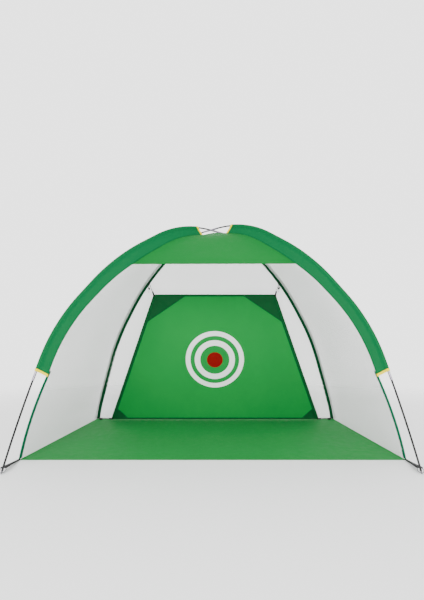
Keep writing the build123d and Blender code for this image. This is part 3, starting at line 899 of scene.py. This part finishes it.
def floor_height(x, y):
    """Slight fold ridges and corner pull lines in the floor cloth."""
    offsets = [x - line - 0.006 * noise.noise(Vector((line * 3, y * 2, 0.4))) for line in FOLDS_ACROSS]
    offsets += [y - line - 0.005 * noise.noise(Vector((x * 2, line * 5, 2.4))) for line in FOLDS_ALONG]
    ridges = sum(math.exp(-((offset / FOLD_WIDTH) ** 2)) for offset in offsets)
    bumps = max(0.0, noise.noise(Vector((x * 3.5, y * 3.5, 4.2))))
    crinkles = max(0.0, noise.noise(Vector((x * 11, y * 11, 9.1))))
    pulls = 0.0
    for sx, sy in ((-1, -1), (-1, 1), (1, -1), (1, 1)):
        dx, dy = x - sx * FLOOR_HALF.x, y - sy * FLOOR_HALF.y
        away = math.hypot(dx, dy)
        fan = 0.5 + 0.5 * math.sin(math.atan2(dy, dx) * PULL_FANS)
        pulls += math.exp(-away / PULL_REACH) * fan * smooth(away / 0.03)
    calm = smooth(min(FLOOR_HALF.x - abs(x), FLOOR_HALF.y - abs(y)) / 0.03)
    inner = FOLD_HEIGHT * ridges + BUMP_HEIGHT * bumps + CRINKLE_HEIGHT * crinkles
    return inner * calm + PULL_HEIGHT * pulls


def floor_point(x, y, lift=0.0):
    return Vector((x, y, FABRIC * 0.6 + floor_height(x, y) + lift))


def build_floor():
    columns, lines = 160, 90
    half = FLOOR_HALF
    rows = []
    for y in spread(-half.y, half.y, lines):
        rows.append([floor_point(x, y) for x in spread(-half.x, half.x, columns)])
    floor = cloth_piece("floor_cloth", rows, "light_cloth", CLOTH_PLY,
                        lambda i, k: (rows[i][k].x, rows[i][k].y), replaced="floor_sheet")
    outline = [Vector((sx * half.x, sy * half.y)) for sx, sy in ((-1, -1), (1, -1), (1, 1), (-1, 1))]
    pieces, threads = [], []
    for n, (a, b) in enumerate(zip(outline, outline[1:] + outline[:1])):
        way = (b - a).normalized()
        inside = Vector((-way.y, way.x))
        steps = round((b - a).length / HEM_STEP)
        strip, line = [], []
        for i in range(steps + 1):
            # each hem starts and ends a little inside the corner, so that two hems meet there
            p = lerp(a + way * HEM_MITRE, b - way * HEM_MITRE, i / steps)
            near = min(i, steps - i) * HEM_STEP + HEM_END
            strip.append([floor_point(*(p + inside * min(w, near)), lift) for w, lift in FLOOR_HEM])
            line.append(floor_point(*(p + inside * HEM_STITCHES), HEM_STITCH_LIFT))
        pieces.append(cloth_piece(f"floor_hem_{n + 1}", strip, "light_cloth", HEM_PLY))
        threads.append((line[1:-1], [UP] * (len(line) - 2)))
    pieces.append(stitch_row("floor_hem_stitching", threads, "light_thread"))
    declare_sheet(rows, (2 * half.x + 0.001, 2 * half.y + 0.001))


# ---- mesh and valance panels

def build_net(name, node, seams, columns, seed, level, cut):
    rows = panel_rows(*seams, PANEL_FOOT, NET_ROWS, columns, NET_SLACK, seed)
    net = cloth_piece(name, rows, "net", NET_PLY, planar_flat(rows, level), replaced=node)
    declare_sheet(rows, cut)


def build_nets():
    for name, side in SIDES.items():
        seams = FRONT_SEAMS[name], REAR_SEAMS[name]
        build_net(f"side_net_{name}", f"side_mesh_{name}", seams, 44, 3.1 + side, Vector((0, 1, 0)),
                  (1.12, 1.66))
    build_net("rear_net", "rear_mesh", REAR_SEAMS.values(), 88, 8.3, Vector((1, 0, 0)),
              (2.0, 1.56))


def build_valance():
    rows = panel_rows(*FRONT_SEAMS.values(), VALANCE_HEIGHT, 40, 80, VALANCE_SLACK, 5.5)
    # the valance cloth and its hem use the light green with painted shade
    cloth = cloth_piece("valance_painted_shade_cloth", rows, "valance_painted_shade_cloth", CLOTH_PLY,
                        planar_flat(rows, Vector((1, 0, 0)), 1.35), replaced="front_valance")
    normals = [(b - a).cross(up - a).normalized() for a, b, up in zip(rows[0], rows[0][1:], rows[1])]
    normals.append(normals[-1])
    rise = [(up - a).normalized() for a, up in zip(rows[0], rows[1])]
    edge = list(zip(rows[0], rise, normals))
    strip = [[p + r * a + n * b for a, b in folded(VALANCE_HEM)] for p, r, n in edge]
    hem = cloth_piece("valance_hem", strip, "valance_painted_shade_cloth", HEM_PLY)
    height, lift = VALANCE_STITCHES
    lines = []
    for face in (1, -1):
        line = [p + r * height + n * (lift * face) for p, r, n in edge]
        lines.append((line, [n * face for n in normals]))
    threads = stitch_row("valance_stitching", lines, "light_thread")
    declare_sheet(rows, (1.02, 0.42))


# ---- sleeves: cloth folded round the pole and sewn flat between the pole and the seam

def sleeve_profile(width, radius, ply, steps=9, arc=8):
    """A folded sleeve's section: (inward, sideways) points from its seam, round the pole and back."""
    pressed = ply * 0.62
    half = [(a, pressed + (radius - pressed) * math.exp(-((a / CHANNEL_FADE) ** 2.4)))
            for a in spread(width, 0, steps)]
    half += [(-radius * math.sin(t), radius * math.cos(t)) for t in spread(0, math.pi / 2, arc)[1:]]
    return folded(half)


def sleeve_rows(pole, pole_run, seam_run, width_at, radius, ply, spacing, ripple=0.0):
    """A folded sleeve from one slanted end to the other."""
    steps = max(1, round((pole_run[1] - pole_run[0]) / spacing))
    rows = []
    for s_pole, s_seam in zip(spread(*pole_run, steps), spread(*seam_run, steps)):
        width = width_at(s_seam)
        row = []
        for a, b in sleeve_profile(width, radius, ply):
            share = min(max(a / width, 0.0), 1.0)
            s = lerp(s_pole, s_seam, share)
            wave = ripple * noise.noise(Vector((s * 22, a * 60, 3.0 if b > 0 else 8.0)))
            wave *= smooth(min(share, 1 - share) * 4) if a > 0 else 0.25
            sideways = b + math.copysign(1, b) * abs(wave)
            row.append(pole.point(s) + pole.inward(s) * a + pole.side_way * sideways)
        rows.append(row)
    return rows


def front_width(s):
    return sleeve_width((s - SLEEVE_LOW) / (SLEEVE_HIGH + SLEEVE_SLANT - SLEEVE_LOW)) + SEAM_OVERLAP


def sleeve_line(pole, s1, s2, inward_at, sideways):
    """A line of stitching on each face of a sleeve."""
    runs = spread(s1, s2, round((s2 - s1) / SLEEVE_STITCH_STEP))
    lines = []
    for out in (pole.side_way, -pole.side_way):
        points = [pole.point(s) + pole.inward(s) * inward_at(s) + out * sideways for s in runs]
        lines.append((points, [out] * len(points)))
    return lines


def build_sleeve(kind, name, pole, runs, width_at, ripple, cloth, thread, lines, cut):
    """A folded sleeve and its stitching."""
    rows = sleeve_rows(pole, *runs, width_at, SLEEVE_RADIUS, SLEEVE_PLY * 2, SLEEVE_STEP, ripple)
    sleeve = cloth_piece(f"{kind}_sleeve_cloth_{name}", rows, cloth, SLEEVE_PLY,
                         replaced=f"{kind}_sleeve_{name}")
    threads = stitch_row(f"{kind}_sleeve_stitching_{name}", lines, thread)
    declare_sheet(rows, cut)


def build_trim(end, name, pole, at, slant, outward):
    """The tape folded over one slanted end of a front sleeve."""
    low, high = sorted((at - TRIM_OVERLAP * outward, at + TRIM_LENGTH * outward))
    rows = sleeve_rows(pole, (low, high), (low + slant, high + slant), lambda s: front_width(s) + 0.0006,
                       SLEEVE_RADIUS + TRIM_LIFT, SLEEVE_PLY * 3.4, TRIM_STEP)
    return cloth_piece(f"sleeve_trim_{end}_{name}", rows, "trim_tape", TAPE_PLY, replaced="sleeve_trims")


def build_front_sleeve(name):
    pole = FRONT_POLES[name]
    runs = (SLEEVE_LOW, SLEEVE_HIGH), (SLEEVE_LOW - LOWER_SLANT, SLEEVE_HIGH + SLEEVE_SLANT)
    low, high = SLEEVE_LOW + SLEEVE_END, SLEEVE_HIGH + SLEEVE_SLANT - 2 * SLEEVE_END
    lines = sleeve_line(pole, low, SLEEVE_HIGH, lambda s: CHANNEL, SLEEVE_PLY * 1.6)
    lines += sleeve_line(pole, low, high, lambda s: front_width(s) - SEAM_ALLOWANCE, SLEEVE_PLY * 1.6)
    trims = [build_trim("lower", name, pole, SLEEVE_LOW, -LOWER_SLANT, -1),
             build_trim("upper", name, pole, SLEEVE_HIGH, SLEEVE_SLANT, 1)]
    build_sleeve("front", name, pole, runs, front_width, 0.0007, "sleeve_cloth", "sleeve_thread", lines,
                 (0.16, 1.30))


def build_rear_sleeve(name):
    pole = REAR_POLES[name]
    run = (REAR_SLEEVE_START, REAR_SLEEVE_END)
    lines = sleeve_line(pole, REAR_SLEEVE_START + SLEEVE_END, REAR_SLEEVE_END - SLEEVE_END,
                        lambda s: REAR_SLEEVE_WIDTH - REAR_SEAM_ALLOWANCE, SLEEVE_PLY * 1.7)
    build_sleeve("rear", name, pole, (run, run), lambda s: REAR_SLEEVE_WIDTH, 0.0003, "patch_cloth",
                 "deep_thread", lines, (0.07, 1.56))


# ---- tapes on the seams

def sewn_tape(where, name, rows, line, normals, tape, thread):
    """A tape and its line of stitches."""
    cloth_piece(f"{where}_tape_{name}", rows, tape, TAPE_PLY, replaced=f"edge_binding_{name}")
    stitch_row(f"{where}_stitching_{name}", [(line, normals)], thread)


def build_rear_tape(name):
    """The tape that covers the seam of the side and rear nets on the inside."""
    other = REAR_SEAMS["right" if name == "left" else "left"]
    rows, line, normals = [], [], []
    for p in smoothed(REAR_SEAMS[name], REAR_TAPE_STEP):
        base = Vector((p.x, p.y, min(max(p.z, FABRIC + 0.0015), CROWN.z - 0.001)))
        d1, d2 = (at_height(seam, base.z) - p for seam in (FRONT_SEAMS[name], other))
        room = smooth(min(d1.length, d2.length) / 0.05)
        if room < 0.02:
            continue
        d1, d2 = d1.normalized(), d2.normalized()
        inside = (d1 + d2).normalized()
        n1, n2 = ((inside - d * inside.dot(d)).normalized() for d in (d1, d2))
        w1, w2 = d1 * (REAR_TAPE_SIDE * room), d2 * (REAR_TAPE_BACK * room)
        rows.append([base + w1 + n1 * TAPE_EDGE_LIFT, base + w1 * 0.5 + n1 * TAPE_LIFT,
                     base + inside * TAPE_FOLD_LIFT,
                     base + w2 * 0.5 + n2 * TAPE_LIFT, base + w2 + n2 * TAPE_EDGE_LIFT])
        line.append(base + w2 * 0.78 + n2 * TAPE_THREAD_LIFT)
        normals.append(n2)
    sewn_tape("rear_seam", name, rows, line, normals, "seam_tape", "deep_thread")


def build_edge_tape(name):
    """The tape folded over the side net's free front edge below the sleeve."""
    points = smoothed(FRONT_SEAMS[name][: SEAM_STEPS // 4 + 1], EDGE_TAPE_STEP)
    rows, line, normals = [], [], []
    for p, way in zip(points, tangents(points)):
        z = max(p.z, FABRIC + 0.001)
        into = (at_height(REAR_SEAMS[name], z) - p).normalized()
        into = (into - way * into.dot(way)).normalized()
        normal = way.cross(into)
        base = Vector((p.x, p.y, z + 0.0006))
        rows.append([base + into * a + normal * b for a, b in folded(EDGE_FOLD)])
        line.append(base + into * EDGE_TAPE * 0.7 + normal * 0.0018)
        normals.append(normal)
    sewn_tape("front_edge", name, rows, line, normals, "binding_tape", "edge_thread")


# ---- target

TARGET_RISE = TARGET_HIGH - TARGET_LOW
TARGET_SLOPE = Vector((0, TARGET_RISE.y, TARGET_RISE.z)).normalized()
TARGET_HEIGHT = Vector((0, TARGET_RISE.y, TARGET_RISE.z)).length
TARGET_FACE = TARGET_SLOPE.cross(Vector((1, 0, 0))) * -1


def target_half_width(up):
    """Half the cloth's width at a distance up its slope."""
    return lerp(TARGET_LOW.x, TARGET_HIGH.x, up / TARGET_HEIGHT)


# EDGE_PUCKERS are the gathers' depth, reach and pitch
BELLY_DEPTH = 0.006
WAVE_DEPTH = 0.0022
EDGE_PUCKERS = (0.0009, 0.045, 0.062)
CORNER_PULL = 0.0024
CORNER_REACH = 0.18
CORNER_FANS = 8


def target_dent(x, up):
    """How far the cloth stands out of its flat plane: a slack belly and pulls from its corners."""
    across = max(1 - (x / target_half_width(up)) ** 2, 0.0)
    lengthwise = math.sin(math.pi * min(max(up / TARGET_HEIGHT, 0), 1))
    wave = noise.noise(Vector((x * 4, up * 4, 1.1)))
    dent = across * (WAVE_DEPTH * wave - BELLY_DEPTH * lengthwise)
    for edge, run in ((up, x), (TARGET_HEIGHT - up, x + 0.4), (target_half_width(up) - abs(x), up)):
        dent += seam_puckers(abs(edge), run, *EDGE_PUCKERS) * smooth(abs(edge) / 0.01)
    for corner_x, corner_up in ((TARGET_LOW.x, 0.0), (TARGET_HIGH.x, TARGET_HEIGHT)):
        for side in (-1, 1):
            dx, dy = x - side * corner_x, up - corner_up
            away = math.hypot(dx, dy)
            fan = math.sin(math.atan2(dy, -side * dx) * CORNER_FANS)
            dent += CORNER_PULL * math.exp(-away / CORNER_REACH) * fan * smooth(away / 0.12)
    return dent


def on_target(x, up, lift=0.0):
    """A point of the target from its flat (x, up), lifted off its front face."""
    sag = TARGET_SAG * (1 - up / TARGET_HEIGHT)
    base = Vector((x, TARGET_LOW.y, TARGET_LOW.z - sag)) + TARGET_SLOPE * up
    return base + TARGET_FACE * (lift + target_dent(x, up))


def target_inset(share, less=0.0):
    """The four corners of the cloth, moved in by a share of the binding's widths, as (x, up)."""
    level, side = LEVEL_BINDING * share - less, SIDE_BINDING * share - less
    taper = (TARGET_LOW.x - TARGET_HIGH.x) / TARGET_HEIGHT
    across = side * math.sqrt(1 + taper * taper)
    low = TARGET_LOW.x - taper * level - across
    high = TARGET_HIGH.x + taper * level - across
    return [Vector((-low, level)), Vector((low, level)),
            Vector((high, TARGET_HEIGHT - level)), Vector((-high, TARGET_HEIGHT - level))]


def build_target():
    columns, lines = 150, 96
    places = []
    for up in spread(0, TARGET_HEIGHT, lines):
        half = target_half_width(up)
        places.append([(x, up) for x in spread(-half, half, columns)])
    rows = [[on_target(*place) for place in row] for row in places]
    centre = Vector((0, TARGET_HEIGHT / 2))
    cloth = cloth_piece("target_sheet", rows, "target", CLOTH_PLY,
                        lambda i, k: Vector(places[i][k]) - centre, "target", replaced="target_cloth")
    outer, inner, stitched = target_inset(0.0), target_inset(1.0), target_inset(1.0, BINDING_STITCHES)
    pieces, threads = [], []
    for k, name in enumerate(("bottom", "right", "top", "left")):
        n = (k + 1) % 4
        steps = round((outer[n] - outer[k]).length / BINDING_STEP)
        edges = zip(spread(outer[k], outer[n], steps), spread(inner[k], inner[n], steps))
        strip = [[on_target(*lerp(a, b, share), lift * BINDING_LIFT) for share, lift in folded(BINDING_FOLD)]
                 for a, b in edges]
        pieces.append(cloth_piece(f"target_binding_{name}", strip, "deep_tape", TAPE_PLY, body="target",
                                  replaced="target_binding"))
        seam = spread(stitched[k], stitched[n], steps)
        for sign in (1, -1):
            line = [on_target(*p, sign * BINDING_THREAD_LIFT) for p in seam]
            threads.append((line, [TARGET_FACE * sign] * len(line)))
    pieces += build_patches(threads)
    pieces.append(stitch_row("target_stitching", threads, "deep_thread", "target"))
    declare_sheet(rows, (2 * TARGET_LOW.x + 0.001, TARGET_HEIGHT + 0.001))


def build_patches(lines):
    """Triangular patches sewn on the front of the target's corners."""
    low_left, low_right, high_right, high_left = target_inset(0.6)
    corners = (
        ("bottom_left", low_left, high_left, low_right, BOTTOM_PATCH),
        ("bottom_right", low_right, high_right, low_left, BOTTOM_PATCH),
        ("top_right", high_right, low_right, high_left, TOP_PATCH),
        ("top_left", high_left, low_left, high_right, TOP_PATCH),
    )
    steps = 24
    pieces = []
    for name, here, side_end, level_end, (run, rise) in corners:
        down = lerp(here, side_end, rise / abs(side_end.y - here.y))
        level = lerp(here, level_end, run / abs(level_end.x - here.x))
        grid = [spread(a, b, steps) for a, b in zip(spread(here, down, steps), spread(here, level, steps))]
        rows = [[on_target(*place, PATCH_LIFT) for place in row] for row in grid]
        pieces.append(cloth_piece(f"target_patch_{name}", rows, "patch_cloth", PATCH_PLY,
                                  lambda i, k: grid[i][k], "target", replaced="target_corner_patches"))
        inward = (here - (down + level) / 2).normalized() * PATCH_HEM
        hem = spread(down + inward, level + inward, 20)
        points = [on_target(*place, PATCH_THREAD_LIFT) for place in hem]
        lines.append((points, [TARGET_FACE] * len(points)))
    return pieces


# ---- webbing that wraps round a wire

def webbing_loop(name, start, wire, across, widths, wire_radius, body, replaced=None,
                 ply=WEBBING_PLY, box=None):
    """Two plies of webbing from start to a wire, turned round it; widths are at the start and the wire.

    box is the run, from start, of the square of stitches with a cross in it that joins the plies.
    """
    way = (wire - start).normalized()
    across = (across - way * across.dot(way)).normalized()
    normal = across.cross(way)
    length = (wire - start).length
    bend = wire_radius + ply * 0.75

    def lift(a):
        return lerp(ply * 0.6, bend, smooth((a / length - PLIES_PART) / (1 - PLIES_PART)))

    def place(a, u, rise):
        half = lerp(*widths, smooth(a / length)) / 2
        curl = (widths[1] - 2 * half) * GATHER_CURL * (u * u - 0.5)
        return start + way * a + across * (half * u) + normal * (rise + curl)

    path = [(a, lift(a)) for a in spread(0, length, 8)]
    path += [(length + bend * math.sin(t), bend * math.cos(t)) for t in spread(0, math.pi / 2, 4)[1:]]
    rows = [[place(a, u, rise) for u in spread(-1, 1, 6)] for a, rise in folded(path)]
    cloth_piece(name, rows, "webbing", ply, body=body, replaced=replaced)
    if not box:
        return
    low, high = box
    edge = BOX_WIDTH
    corners = [Vector(c) for c in ((low, -edge), (low, edge), (high, edge), (high, -edge), (low, -edge),
                                   (high, edge), (high, -edge), (low, edge))]
    lines = []
    for face in (1, -1):
        for a, b in zip(corners, corners[1:]):
            points = [place(*c, (lift(c.x) + ply * 0.5) * face) for c in spread(a, b, 6)]
            lines.append((points, [normal * face] * len(points)))
    stitch_row(f"{name}_stitching", lines, "black_thread", body)


class Foot:
    """The places of the ring and webbing at one foot of a pole."""

    def __init__(self, pole, at_front):
        s = 0.0 if at_front else pole.length
        pole_end = pole.point(s)
        up_pole = pole.along(s) if at_front else pole.along(s) * -1
        side = 1 if pole_end.x > 0 else -1
        self.corner = Vector((side * FLOOR_HALF.x, (-1 if at_front else 1) * FLOOR_HALF.y, 0))
        eye = pole_end - up_pole * ((FOOT_LIFT - EYE_HEIGHT) / up_pole.z)
        level = self.corner - eye
        self.pull = Vector((level.x, level.y, 0)).normalized()
        tilt = FRONT_RING_TILT if at_front else REAR_RING_TILT
        self.ring_lie = self.pull * math.cos(tilt) + UP * math.sin(tilt)
        seat = Vector((eye.x, eye.y, RING_SEAT)) + self.pull * RING_PULL
        self.ring_centre = seat + self.ring_lie * RING_RADIUS


FEET = {
    "front_right": Foot(POLE_A, True),
    "front_left": Foot(POLE_B, True),
    "rear_left": Foot(POLE_A, False),
    "rear_right": Foot(POLE_B, False),
}


def build_straps():
    """Webbing from the floor's corners to the rings; only a long strap has room for a box of stitches."""
    for name, foot in FEET.items():
        wire = foot.ring_centre + foot.ring_lie * RING_RADIUS
        start = foot.corner + foot.pull * 0.002 + UP * STRAP_RISE
        length = (wire - start).length
        box = [length - end for end in STRAP_BOX] if length > 2 * STRAP_BOX[0] else None
        webbing_loop(f"corner_webbing_{name}", start, wire, foot.pull.cross(UP), (STRAP_GATHER, STRAP_WIDTH),
                     RING_WIRE / 2, "net", f"corner_strap_{name}", box=box)


# ---- ties

class Tie:
    """The places of the parts that hold one corner of the target."""

    def __init__(self, side, at_top, seam):
        corner = TARGET_HIGH if at_top else TARGET_LOW
        self.at_top = at_top
        self.corner = mirrored(corner, side)
        on_seam = at_height(seam, TOP_TIE_HEIGHT)
        self.seam_point = on_seam if at_top else floor_corner(side, 1) + UP * SEAM_LIFT
        self.loop = on_seam + mirrored(TOP_LOOP_INSET, side) if at_top else mirrored(BOTTOM_LOOP, side)
        self.line = (self.loop - self.corner).normalized()
        flat = Vector((-self.line.x, -self.line.y, 0)).normalized()
        self.tail_way = UP * -1 if at_top else Matrix.Rotation(TAIL_SWING * side, 3, "Z") @ flat
        quarter = Matrix.Rotation(math.pi / 2 * side, 3, "Z")
        self.barrel = Vector((0, -1, 0)) if at_top else quarter @ self.tail_way
        self.tab_end = self.corner + self.line * TAB_LENGTH
        self.small_ring = self.tab_end + self.line * (SMALL_RING_RADIUS + SMALL_RING_WIRE / 2 + SMALL_GAP)
        reach = LOOP_RADIUS + LOOP_WIRE / 2 + SMALL_GAP
        self.tail_start = self.loop + self.tail_way * reach
        self.tail_end = self.tail_start + self.tail_way * TAIL_LENGTH
        self.lock = self.tail_start + self.tail_way * LOCK_STATION - self.barrel * CORD_STATION


TIES = {
    f"{level}_{name}": Tie(side, level == "top", REAR_SEAMS[name])
    for level in ("top", "bottom") for name, side in SIDES.items()
}


def cord_eye(name, centre, axis, radius, cord_radius, body="net"):
    """A closed turn of cord round a wire."""
    u, v = square_to(axis)
    points = [centre + turned(u, v, angle) * radius for angle in spread(0, math.tau, 14)]
    return tube_piece(name, points, cord_radius, "elastic_cord", 8, body, False)


def knot_points(centre, way):
    """An overhand knot: a trefoil about the cord's own line."""
    u, v = square_to(way)
    points = []
    for t in spread(0, math.tau, 40):
        flat = u * (math.sin(t) + 2 * math.sin(2 * t)) + v * (math.cos(t) - 2 * math.cos(2 * t))
        points.append(centre + (flat / 3 - way * (math.sin(3 * t) * 0.55)) * KNOT_RADIUS)
    return points


def build_tie(name, tie):
    """The strand that holds the target, between its eyes on the small ring and on the sewn loop."""
    radius = TIE_CORD / 2
    wire = tie.small_ring + tie.line * SMALL_RING_RADIUS
    loop_wire = tie.loop - tie.line * LOOP_RADIUS
    turn = radius + SMALL_RING_WIRE / 2
    ring_way = TARGET_FACE.cross(tie.line).normalized()
    loop_way = UP.cross(tie.line).cross(tie.line).normalized()
    cord_eye(f"ring_eye_{name}", wire, ring_way, turn, radius * 0.8, "target")
    cord_eye(f"loop_eye_{name}", loop_wire, loop_way, turn, radius * 0.8)
    start, end = loop_wire - tie.line * turn, wire + tie.line * turn
    points = spread(start, end, 16)
    strand = tube_piece(f"tie_strand_{name}", points, radius, "elastic_cord", body=None,
                        replaced=f"tie_cord_{name}")
    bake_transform(strand)
    (end - start).length


def build_tail(name, tie):
    """The cord's free tail, down through the lock to its knot."""
    start = tie.loop + tie.tail_way * (LOOP_RADIUS + LOOP_WIRE / 2)
    curve = bpy.data.curves.new(f"tie_tail_{name}", "CURVE")
    curve.dimensions = "3D"
    curve.bevel_depth = TAIL_CORD / 2
    curve.bevel_resolution = 3
    curve.use_fill_caps = True
    spline = curve.splines.new("NURBS")
    points = spread(start, tie.tail_end, 5)
    spline.points.add(len(points) - 1)
    for control, point in zip(spline.points, points):
        control.co = (*point, 1.0)
    spline.order_u = 3
    spline.use_endpoint_u = True
    spline.resolution_u = 8
    curve.materials.append(MATERIALS["loop_cord"])
    tail = add_object(f"tie_tail_{name}", curve)
    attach(tail, "net")
    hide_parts(f"tie_cord_{name}")
    knot = tube_piece(f"tail_knot_{name}", knot_points(tie.tail_end, tie.tail_way), TAIL_CORD * 0.42,
                      "elastic_cord", 8, capped=False)
    eye_way = UP.cross(tie.line).cross(tie.tail_way).normalized()
    eye_centre = tie.loop + tie.tail_way * LOOP_RADIUS
    eye = cord_eye(f"tail_eye_{name}", eye_centre, eye_way, TAIL_EYE_RADIUS, TAIL_CORD * 0.4)
    on_cord = [knot, eye] + [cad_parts[f"{n}_{name}"] for n in ("cord_lock", "lock_plunger")]
    (tie.tail_end - start).length


def build_spring(name, tie):
    """The coil under a lock's button, from the lock's floor up to the button at rest."""
    u, v = square_to(tie.barrel)
    low = LOCK_FLOOR + SPRING_GAP + SPRING_WIRE / 2
    high = PLUNGER_START - SPRING_GAP - SPRING_WIRE / 2
    steps = SPRING_TURNS * 24
    coil = zip(spread(low, high, steps), spread(0, math.tau * SPRING_TURNS, steps))
    points = [tie.lock + tie.barrel * z + turned(u, v, angle) * SPRING_RADIUS for z, angle in coil]
    spring = tube_piece(f"lock_coil_{name}", points, SPRING_WIRE / 2, "steel", 8, f"lock_{name}",
                        replaced=f"lock_spring_{name}")
    anchor = tie.lock + tie.barrel * LOCK_FLOOR
    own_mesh(spring)


def build_tabs():
    for name, tie in TIES.items():
        wire = tie.small_ring - tie.line * SMALL_RING_RADIUS
        start = tie.corner - tie.line * TAB_OVERLAP + TARGET_FACE * (TAB_PLY * 2)
        across = tie.line.cross(TARGET_FACE).normalized()
        webbing_loop(f"target_tab_{name}", start, wire, across, (TAB_WIDTH, TAB_WIDTH), SMALL_RING_WIRE / 2,
                     "target", "target_tabs", TAB_PLY, TAB_BOX)
        way = (tie.loop - tie.seam_point).normalized()
        across = UP if tie.at_top else way.cross(UP)
        webbing_loop(f"loop_tab_{name}", tie.seam_point - way * 0.001, tie.loop - way * LOOP_RADIUS, across,
                     (LOOP_TAB, LOOP_TAB), LOOP_WIRE / 2, "net", ply=LOOP_TAB_PLY)


# ---- carried-over CAD parts

CAD_LOOKS = {
    "fibreglass": ("pole_a_section", "pole_b_section"),
    "ferrule": ("pole_a_ferrules", "pole_b_ferrules"),
    "loop_cord": ("pole_a_shock", "pole_b_shock", "net_tie_loops"),
    "steel": ("foot_", "target_tab_rings", "lock_spring"),
    "lock_plastic": ("cord_lock", "lock_plunger"),
}


def paint_cad():
    for name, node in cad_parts.items():
        for material, starts in CAD_LOOKS.items():
            if name.startswith(starts):
                node.data.materials.clear()
                node.data.materials.append(MATERIALS[material])


# ---- studio

FLOOR_WHITE = (0.93, 0.93, 0.93, 1.0)
FLOOR_FADE = (1.2, 5.0)
STAGE_DROP = 0.0004
ROOM_LIGHT = 1.3
BACKDROP_LIGHT = 2.8
BACKDROP_START = -0.3
BACKDROP_FULL = 0.6
LAMP_AIM = Vector((0, 0, 0.5))
LAMPS = (("key", (-0.8, -4.2, 1.9), 2.6, 165), ("fill", (1.8, -3.4, 1.2), 2.2, 43))


def stage_material():
    """A white floor that fades into the backdrop with distance."""
    m = new_material("studio_floor")
    colour = m.shades(m.ramp(m.noise(3.0), 0.3, 0.7), FLOOR_WHITE, 0.995, 1.0)
    distance = m.add("ShaderNodeVectorMath", operation="LENGTH")
    m.feed(distance.inputs, m.place())
    fade = m.ramp(Field(m, distance.outputs["Value"]), *FLOOR_FADE, 1.0, 0.0)
    m.put(m.shader, Base_Color=colour, Roughness=0.9, Specular_IOR_Level=0.1, Alpha=fade)
    return m.owner


def build_stage():
    mesh = bpy.data.meshes.new("studio_floor")
    half = FLOOR_FADE[1]
    corners = [(-half, -half, 0), (half, -half, 0), (half, half, 0), (-half, half, 0)]
    mesh.from_pydata(corners, [], [(0, 1, 2, 3)])
    mesh.materials.append(stage_material())
    floor = add_object("studio_floor", mesh)
    floor.location.z = -STAGE_DROP


def area_light(name, location, size, power):
    """A round lamp that points at the middle of the net."""
    light = bpy.data.lights.new(name, "AREA")
    light.shape = "DISK"
    light.size = size
    light.energy = power
    lamp = add_object(name, light)
    lamp.location = location
    lamp.rotation_euler = (LAMP_AIM - Vector(location)).to_track_quat("-Z", "Y").to_euler()


def build_lights():
    """White light all round, brighter behind the net than in front of it, and two lamps."""
    world = Nodes(bpy.data.worlds.new("studio"), "Background")
    behind = world.part(world.place("Generated"), 1)
    strength = world.ramp(behind, BACKDROP_START, BACKDROP_FULL, ROOM_LIGHT, BACKDROP_LIGHT)
    world.put(world.shader, Color=(1.0, 1.0, 1.0, 1.0), Strength=strength)
    bpy.context.scene.world = world.owner
    for lamp in LAMPS:
        area_light(*lamp)


CAMERA_PLACE = (0.035, -2.051, 0.5452)
CAMERA_LENS = 18.02
CAMERA_SHIFT = (-0.0121, 0.0908)


def build_camera():
    data = bpy.data.cameras.new("camera")
    data.sensor_width = 36.0
    data.lens = CAMERA_LENS
    data.shift_x, data.shift_y = CAMERA_SHIFT
    data.clip_start = 0.01
    camera = add_object("camera", data)
    camera.location = CAMERA_PLACE
    camera.rotation_euler = (math.pi / 2, 0, 0)
    bpy.context.scene.camera = camera


build_camera()
for tie_name, place in TIES.items():
    build_tie(tie_name, place)
    build_tail(tie_name, place)
    build_spring(tie_name, place)
build_floor()
build_nets()
for side_name in SIDES:
    build_front_sleeve(side_name)
    build_rear_sleeve(side_name)
    build_rear_tape(side_name)
    build_edge_tape(side_name)
build_valance()
build_tabs()
build_target()
build_straps()
paint_cad()
build_stage()
build_lights()
